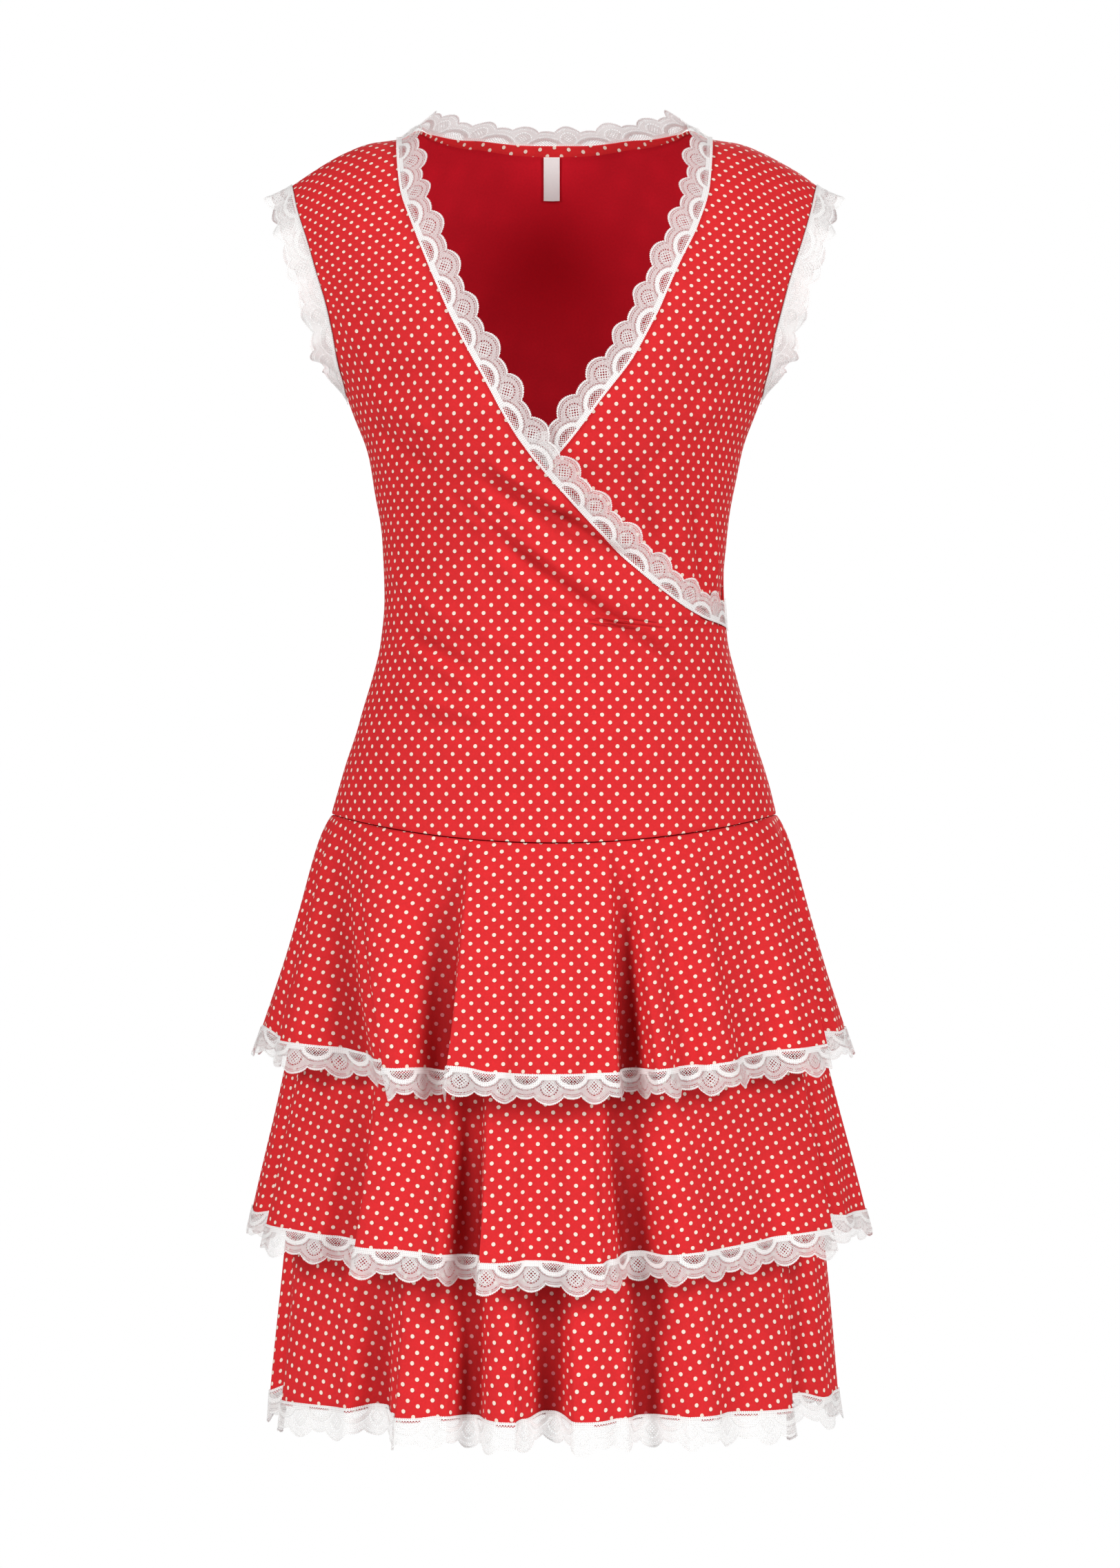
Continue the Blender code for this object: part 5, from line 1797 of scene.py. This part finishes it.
@dataclass(frozen=True)
class Finish:
    """What every finish has: a name, a colour and the constants of its shader."""

    name: str
    colour: Colour
    roughness: float = 0.8
    specular: float = 0.3
    sheen: float = 0.0
    sheen_tint: Colour = (1.0, 1.0, 1.0)
    relief: float = 0.00004
    sheen_roughness: float = 0.45

    def start(self) -> tuple[Material, Tree, Node]:
        """Makes a new material.

        Returns:
            The material, its tree, and its shader, whose constant sockets are set.
        """
        material = bpy.data.materials.new(self.name)
        material.use_nodes = True
        tree = material.node_tree
        shader = tree.nodes["Principled BSDF"]
        constants = {
            "Base Color": (*self.colour, 1.0), "Roughness": self.roughness,
            "Specular IOR Level": self.specular, "Sheen Weight": self.sheen,
            "Sheen Roughness": self.sheen_roughness, "Sheen Tint": (*self.sheen_tint, 1.0),
        }
        for entry, value in constants.items():
            shader.inputs[entry].default_value = value
        return material, tree, shader

    def pattern(self, tree: Tree, pattern: Pattern) -> dict[str, Signal]:
        """Adds a pattern's group, fed by the cloth coordinates.

        Args:
            tree: the material's tree.
            pattern: the pattern.

        Returns:
            The group's outputs by name.
        """
        source = tree.nodes.new("ShaderNodeUVMap")
        source.uv_map = "cloth"
        node = tree.nodes.new("ShaderNodeGroup")
        node.node_tree = pattern.tree()
        tree.links.new(source.outputs["UV"], node.inputs["Cloth"])
        return {label: Signal(tree, node.outputs[label]) for label in pattern.outputs}

    def blend(self, tree: Tree, share: Signal | float, low: "Socket | Colour",
              high: "Socket | Colour", kind: str = "MIX") -> Socket:
        """Mixes two colours, each given as a socket or as a colour.

        Args:
            tree: the material's tree.
            share: the second colour's share.
            low: the first colour.
            high: the second colour.
            kind: Blender's kind of mix.

        Returns:
            The mixed colour.
        """
        node = tree.nodes.new("ShaderNodeMix")
        node.data_type = "RGBA"
        node.blend_type = kind
        feed(tree, node.inputs["Factor"], share)
        for entry, value in ((node.inputs[6], low), (node.inputs[7], high)):
            if isinstance(value, Socket):
                tree.links.new(value, entry)
            else:
                entry.default_value = (*value, 1.0)
        return node.outputs[2]

    def bump(self, tree: Tree, shader: Node, height: Signal) -> None:
        """Feeds a height to the shader's normal.

        Args:
            tree: the material's tree.
            shader: its shader.
            height: the height, in shares of the finish's relief.
        """
        node = tree.nodes.new("ShaderNodeBump")
        node.inputs["Distance"].default_value = self.relief
        feed(tree, node.inputs["Height"], height)
        tree.links.new(node.outputs["Normal"], shader.inputs["Normal"])

    def grey(self, tree: Tree, shade: Signal) -> Socket:
        """Makes a shade a colour.

        Args:
            tree: the material's tree.
            shade: the shade, from 0 to 1.

        Returns:
            The grey.
        """
        node = tree.nodes.new("ShaderNodeCombineColor")
        for axis in ("Red", "Green", "Blue"):
            tree.links.new(shade.socket, node.inputs[axis])
        return node.outputs["Color"]

    def paint(self, tree: Tree, shader: Node, ground: "Socket | Colour",
              shade: Socket) -> None:
        """Feeds a ground colour, times its shade, to the shader's colour."""
        tree.links.new(self.blend(tree, 1.0, ground, shade, "MULTIPLY"), shader.inputs["Base Color"])


@dataclass(frozen=True)
class DottedJersey(Finish):
    """Red viscose jersey with cream dots printed on it, and painted shade in the hollows of its folds."""

    dot: Colour = (0.93, 0.78, 0.66)
    deep: Colour = (0.30, 0.006, 0.010)
    # Painted shade: the colour that the deepest hollows are multiplied by
    painted_hollow_shade: Colour = (0.50, 0.13, 0.18)
    worn_share: float = 0.86
    shadow_strength: float = 0.62
    dot_strength: float = 0.97
    dot_relief: float = 0.5

    def material(self) -> Material:
        """Makes the material.

        Returns:
            The finished material.
        """
        material, tree, shader = self.start()
        prints, knit = self.pattern(tree, POLKA_PRINT), self.pattern(tree, JERSEY_KNIT)
        slub = self.pattern(tree, DYED_SHADE)["Shade"]
        slub_and_painted_light = tuple(self.worn_share * part for part in self.colour)
        ground = self.blend(tree, slub, slub_and_painted_light, self.colour)
        ground = self.blend(tree, prints["Shadow"] * self.shadow_strength, ground, self.deep)
        printed = self.blend(tree, prints["Dot"] * self.dot_strength, ground, self.dot)
        # Painted shade: the colour is multiplied by a darker red, the more so the deeper the place lies in a
        # crease or valley
        hollow = tree.nodes.new("ShaderNodeAttribute")
        hollow.attribute_name = "hollow"
        hollow_shade_colour = self.blend(tree, Signal(tree, hollow.outputs["Fac"]), (1.0, 1.0, 1.0), self.painted_hollow_shade)
        shade = self.blend(tree, 1.0, self.grey(tree, knit["Shade"]), hollow_shade_colour, "MULTIPLY")
        self.paint(tree, shader, printed, shade)
        self.bump(tree, shader, knit["Height"] + prints["Dot"] * self.dot_relief)
        return material


@dataclass(frozen=True)
class PlainJersey(Finish):
    """The unprinted inside of the jersey, with painted light between the shoulder blades."""

    # Painted light: the paler colour of the field between the shoulder blades
    slub_and_painted_light: Colour = (0.85, 0.009, 0.027)
    dark_share: float = 0.82

    def material(self) -> Material:
        """Makes the material.

        Returns:
            The finished material.
        """
        material, tree, shader = self.start()
        knit = self.pattern(tree, JERSEY_KNIT)
        slub = self.pattern(tree, DYED_SHADE)["Shade"]
        dark = tuple(self.dark_share * part for part in self.colour)
        ground = self.blend(tree, slub, dark, self.colour)
        # Painted light: the inside is made paler between the shoulder blades, where it lies in shade
        ground = self.blend(tree, self.pattern(tree, PAINTED_LIGHT_FIELD)["PaintedLight"], ground, self.slub_and_painted_light)
        self.paint(tree, shader, ground, self.grey(tree, knit["Shade"]))
        self.bump(tree, shader, knit["Height"])
        return material


@dataclass(frozen=True)
class Woven(Finish):
    """One colour with the shade and relief of a pattern, open between the threads where it has a cover."""

    texture: Pattern = LABEL_WEAVE

    def material(self) -> Material:
        """Makes the material.

        Returns:
            The finished material.
        """
        material, tree, shader = self.start()
        woven = self.pattern(tree, self.texture)
        self.paint(tree, shader, self.colour, self.grey(tree, woven["Shade"]))
        if "Cover" in woven:
            tree.links.new(woven["Cover"].socket, shader.inputs["Alpha"])
        self.bump(tree, shader, woven["Height"])
        return material


@dataclass(frozen=True)
class PaleFloor(Finish):
    """Matt studio paper."""

    dark_share: float = 0.97
    noise_scale: float = 3.0

    def material(self) -> Material:
        """Makes the material, with a faint unevenness in its shade.

        Returns:
            The finished material.
        """
        material, tree, shader = self.start()
        source = tree.nodes.new("ShaderNodeTexCoord")
        noise = tree.nodes.new("ShaderNodeTexNoise")
        noise.inputs["Scale"].default_value = self.noise_scale
        tree.links.new(source.outputs["Object"], noise.inputs["Vector"])
        dark = tuple(self.dark_share * part for part in self.colour)
        mixed = self.blend(tree, Signal(tree, noise.outputs["Fac"]), dark, self.colour)
        tree.links.new(mixed, shader.inputs["Base Color"])
        return material


@dataclass(frozen=True)
class Softbox:
    """One square area light that the camera doesn't see."""

    name: str
    place: Place
    size: float
    power: float
    aim: Place = (0.0, 0.0, -0.45)

    def hang(self) -> None:
        """Puts the light in the scene, turned towards its aim."""
        lamp = bpy.data.lights.new(self.name, "AREA")
        lamp.size = self.size
        lamp.energy = self.power
        light = in_scene(self.name, lamp)
        light.location = self.place
        beam = Vector(self.aim) - Vector(self.place)
        light.rotation_euler = beam.to_track_quat("-Z", "Y").to_euler()
        light.visible_camera = False


@dataclass(frozen=True)
class Studio:
    """Camera, lights, pale floor and white surroundings."""

    middle: Place = (0.004, 0.0, -0.454)
    distance: float = 4.0
    view_height: float = 1.105
    sensor: float = 36.0
    floor_z: float = -1.34
    floor_radius: float = 1.3
    floor_corners: int = 96
    floor_colour: Colour = (0.9, 0.9, 0.9)
    world: float = 0.20
    lights: tuple[Softbox, ...] = (
        Softbox("left", (-2.5, -2.3, 0.8), 1.3, 88.0),
        Softbox("right", (2.5, -2.3, 0.6), 1.3, 88.0),
        Softbox("front", (0.0, -4.2, 0.6), 1.0, 13.0),
        Softbox("back", (0.6, 3.4, 1.0), 1.6, 90.0),
    )

    def camera(self) -> None:
        """A level camera in front, as far away and as long as gives the photograph's frame."""
        lens = bpy.data.cameras.new("camera")
        lens.sensor_fit = "AUTO"
        lens.sensor_width = self.sensor
        lens.lens = self.sensor * self.distance / self.view_height
        camera = in_scene("camera", lens)
        camera.location = (self.middle[0], -self.distance, self.middle[2])
        camera.rotation_euler = (QUARTER, 0.0, 0.0)
        bpy.context.scene.camera = camera

    def floor(self) -> None:
        """A round pale floor below the dress."""
        turn = np.linspace(0, 2 * math.pi, self.floor_corners, endpoint=False)
        x, y = np.cos(turn) * self.floor_radius, np.sin(turn) * self.floor_radius
        rim = np.stack([x, y, 0 * turn + self.floor_z], axis=-1)
        mesh = bpy.data.meshes.new("floor")
        mesh.from_pydata(rim.tolist(), [], [list(range(len(rim)))])
        mesh.materials.append(PaleFloor("pale_floor", self.floor_colour, roughness=0.9).material())
        in_scene("floor", mesh)

    def surroundings(self) -> None:
        """A white world, which lights the dress less than it shows."""
        world = bpy.data.worlds.new("white")
        world.use_nodes = True
        tree = world.node_tree
        shown, path, mix = (tree.nodes.new(kind) for kind in (
            "ShaderNodeBackground", "ShaderNodeLightPath", "ShaderNodeMixShader"))
        lighting = tree.nodes["Background"]
        for node, strength in ((lighting, self.world), (shown, 1.0)):
            node.inputs["Color"].default_value = (1.0, 1.0, 1.0, 1.0)
            node.inputs["Strength"].default_value = strength
        tree.links.new(path.outputs["Is Camera Ray"], mix.inputs["Fac"])
        tree.links.new(lighting.outputs["Background"], mix.inputs[1])
        tree.links.new(shown.outputs["Background"], mix.inputs[2])
        tree.links.new(mix.outputs["Shader"], tree.nodes["World Output"].inputs["Surface"])
        bpy.context.scene.world = world

    def set_up(self) -> None:
        """Everything round the dress."""
        self.camera()
        self.floor()
        self.surroundings()
        for light in self.lights:
            light.hang()
        bpy.context.scene.view_settings.view_transform = "Standard"


@dataclass(frozen=True)
class WrapDress:
    """The whole dress, piece by piece."""

    form: BodyForm
    printed: Material
    inside: Material
    lace: Material
    woven: Material

    def lay(self, cloth: Cloth, materials: Sequence[Material]) -> None:
        """Builds a piece in place of the node of the same name, and measures its flat cut.

        Args:
            cloth: the piece's wall.
            materials: the outside's material and, where the wall has one, the inside's.
        """
        piece = cloth.build(materials)
        flat, area = cut_of(cloth.uv)

    def jersey(self, cloth: Cloth) -> None:
        """Lays a piece of jersey, printed outside and plain inside."""
        self.lay(cloth, (self.printed, self.inside))

    def trim(self, cloth: Cloth, on: str) -> None:
        """Lays a lace edging."""
        self.lay(cloth, (self.lace,))

    def make_bodice(self, bodice: Bodice) -> None:
        """Both fronts and the back.

        Args:
            bodice: the bodice's shapes.
        """
        edges = bodice.edges
        self.jersey(bodice.front("bodice_front_outer", edges.wrap, 1, bodice.wrap_lift))
        self.jersey(bodice.front("bodice_front_under", edges.under, -1, bodice.under_lift))
        self.jersey(bodice.back("bodice_back"))

    def make_skirt(self, trim: Trim) -> None:
        """Both halves of the underskirt and of each flounce, with the lace on the hems.

        Args:
            trim: the lace's shapes.
        """
        underskirt = Underskirt(self.form)
        for side, face in (("front", 1), ("back", -1)):
            self.jersey(underskirt.half(f"underskirt_{side}", face))
            for tier in TIERS:
                flounce = Flounce(self.form, tier)
                name = f"flounce_{tier.number}_{side}"
                self.jersey(flounce.cloth_half(name, face))
                self.trim(trim.hem(f"lace_hem_{tier.number}_{side}", flounce, face), name)

    def make_trim(self, trim: Trim) -> None:
        """The lace of the neck edges and armholes.

        Args:
            trim: the lace's shapes.
        """
        edges, bodice = trim.edges, trim.bodice
        start, under_start = edges.wrap_end_z + trim.wrap_start, trim.under_start_z
        over = trim.front("lace_wrap_edge", edges.wrap, 1, start, bodice.wrap_lift)
        under = trim.front("lace_under_edge", edges.under, -1, under_start, lambda angle, z: 0 * z)
        self.trim(over, "bodice_front_outer")
        self.trim(under, "bodice_front_under")
        self.trim(trim.back_neck("lace_back_neck"), "bodice_back")
        self.trim(trim.armhole("lace_armhole_right", -1), "bodice_back")
        self.trim(trim.armhole("lace_armhole_left", 1), "bodice_back")

    def make_label(self) -> None:
        """The bare label."""
        self.lay(Label(self.form).cloth("neck_label"), (self.woven,))


def main() -> None:
    """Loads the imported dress, dresses it and sets up the studio."""
    logging.basicConfig(level=logging.INFO, format="%(message)s")
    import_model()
    form = BodyForm()
    edges, drape = Edges(form), Drape(form)
    bodice = Bodice(form, edges, drape)
    dress = WrapDress(
        form,
        DottedJersey("dotted_jersey", (0.76, 0.020, 0.025), roughness=0.78, specular=0.20, sheen=0.05,
                     sheen_tint=(1.0, 0.45, 0.4)).material(),
        PlainJersey("plain_jersey", (0.68, 0.007, 0.021), roughness=0.85, specular=0.15, sheen=0.05,
                    sheen_tint=(1.0, 0.4, 0.4)).material(),
        Woven("scalloped_lace", (0.95, 0.94, 0.93), roughness=0.75, specular=0.25, sheen=0.1,
              relief=0.0002, texture=LACE_PATTERN).material(),
        Woven("woven_label", (0.97, 0.96, 0.95), roughness=0.55, specular=0.4,
              relief=0.00006).material(),
    )
    trim = Trim(form, edges, drape, bodice, LaceCut(), Frill())
    dress.make_bodice(bodice)
    dress.make_skirt(trim)
    dress.make_trim(trim)
    dress.make_label()
    Studio().set_up()


if __name__ == "__main__":
    main()
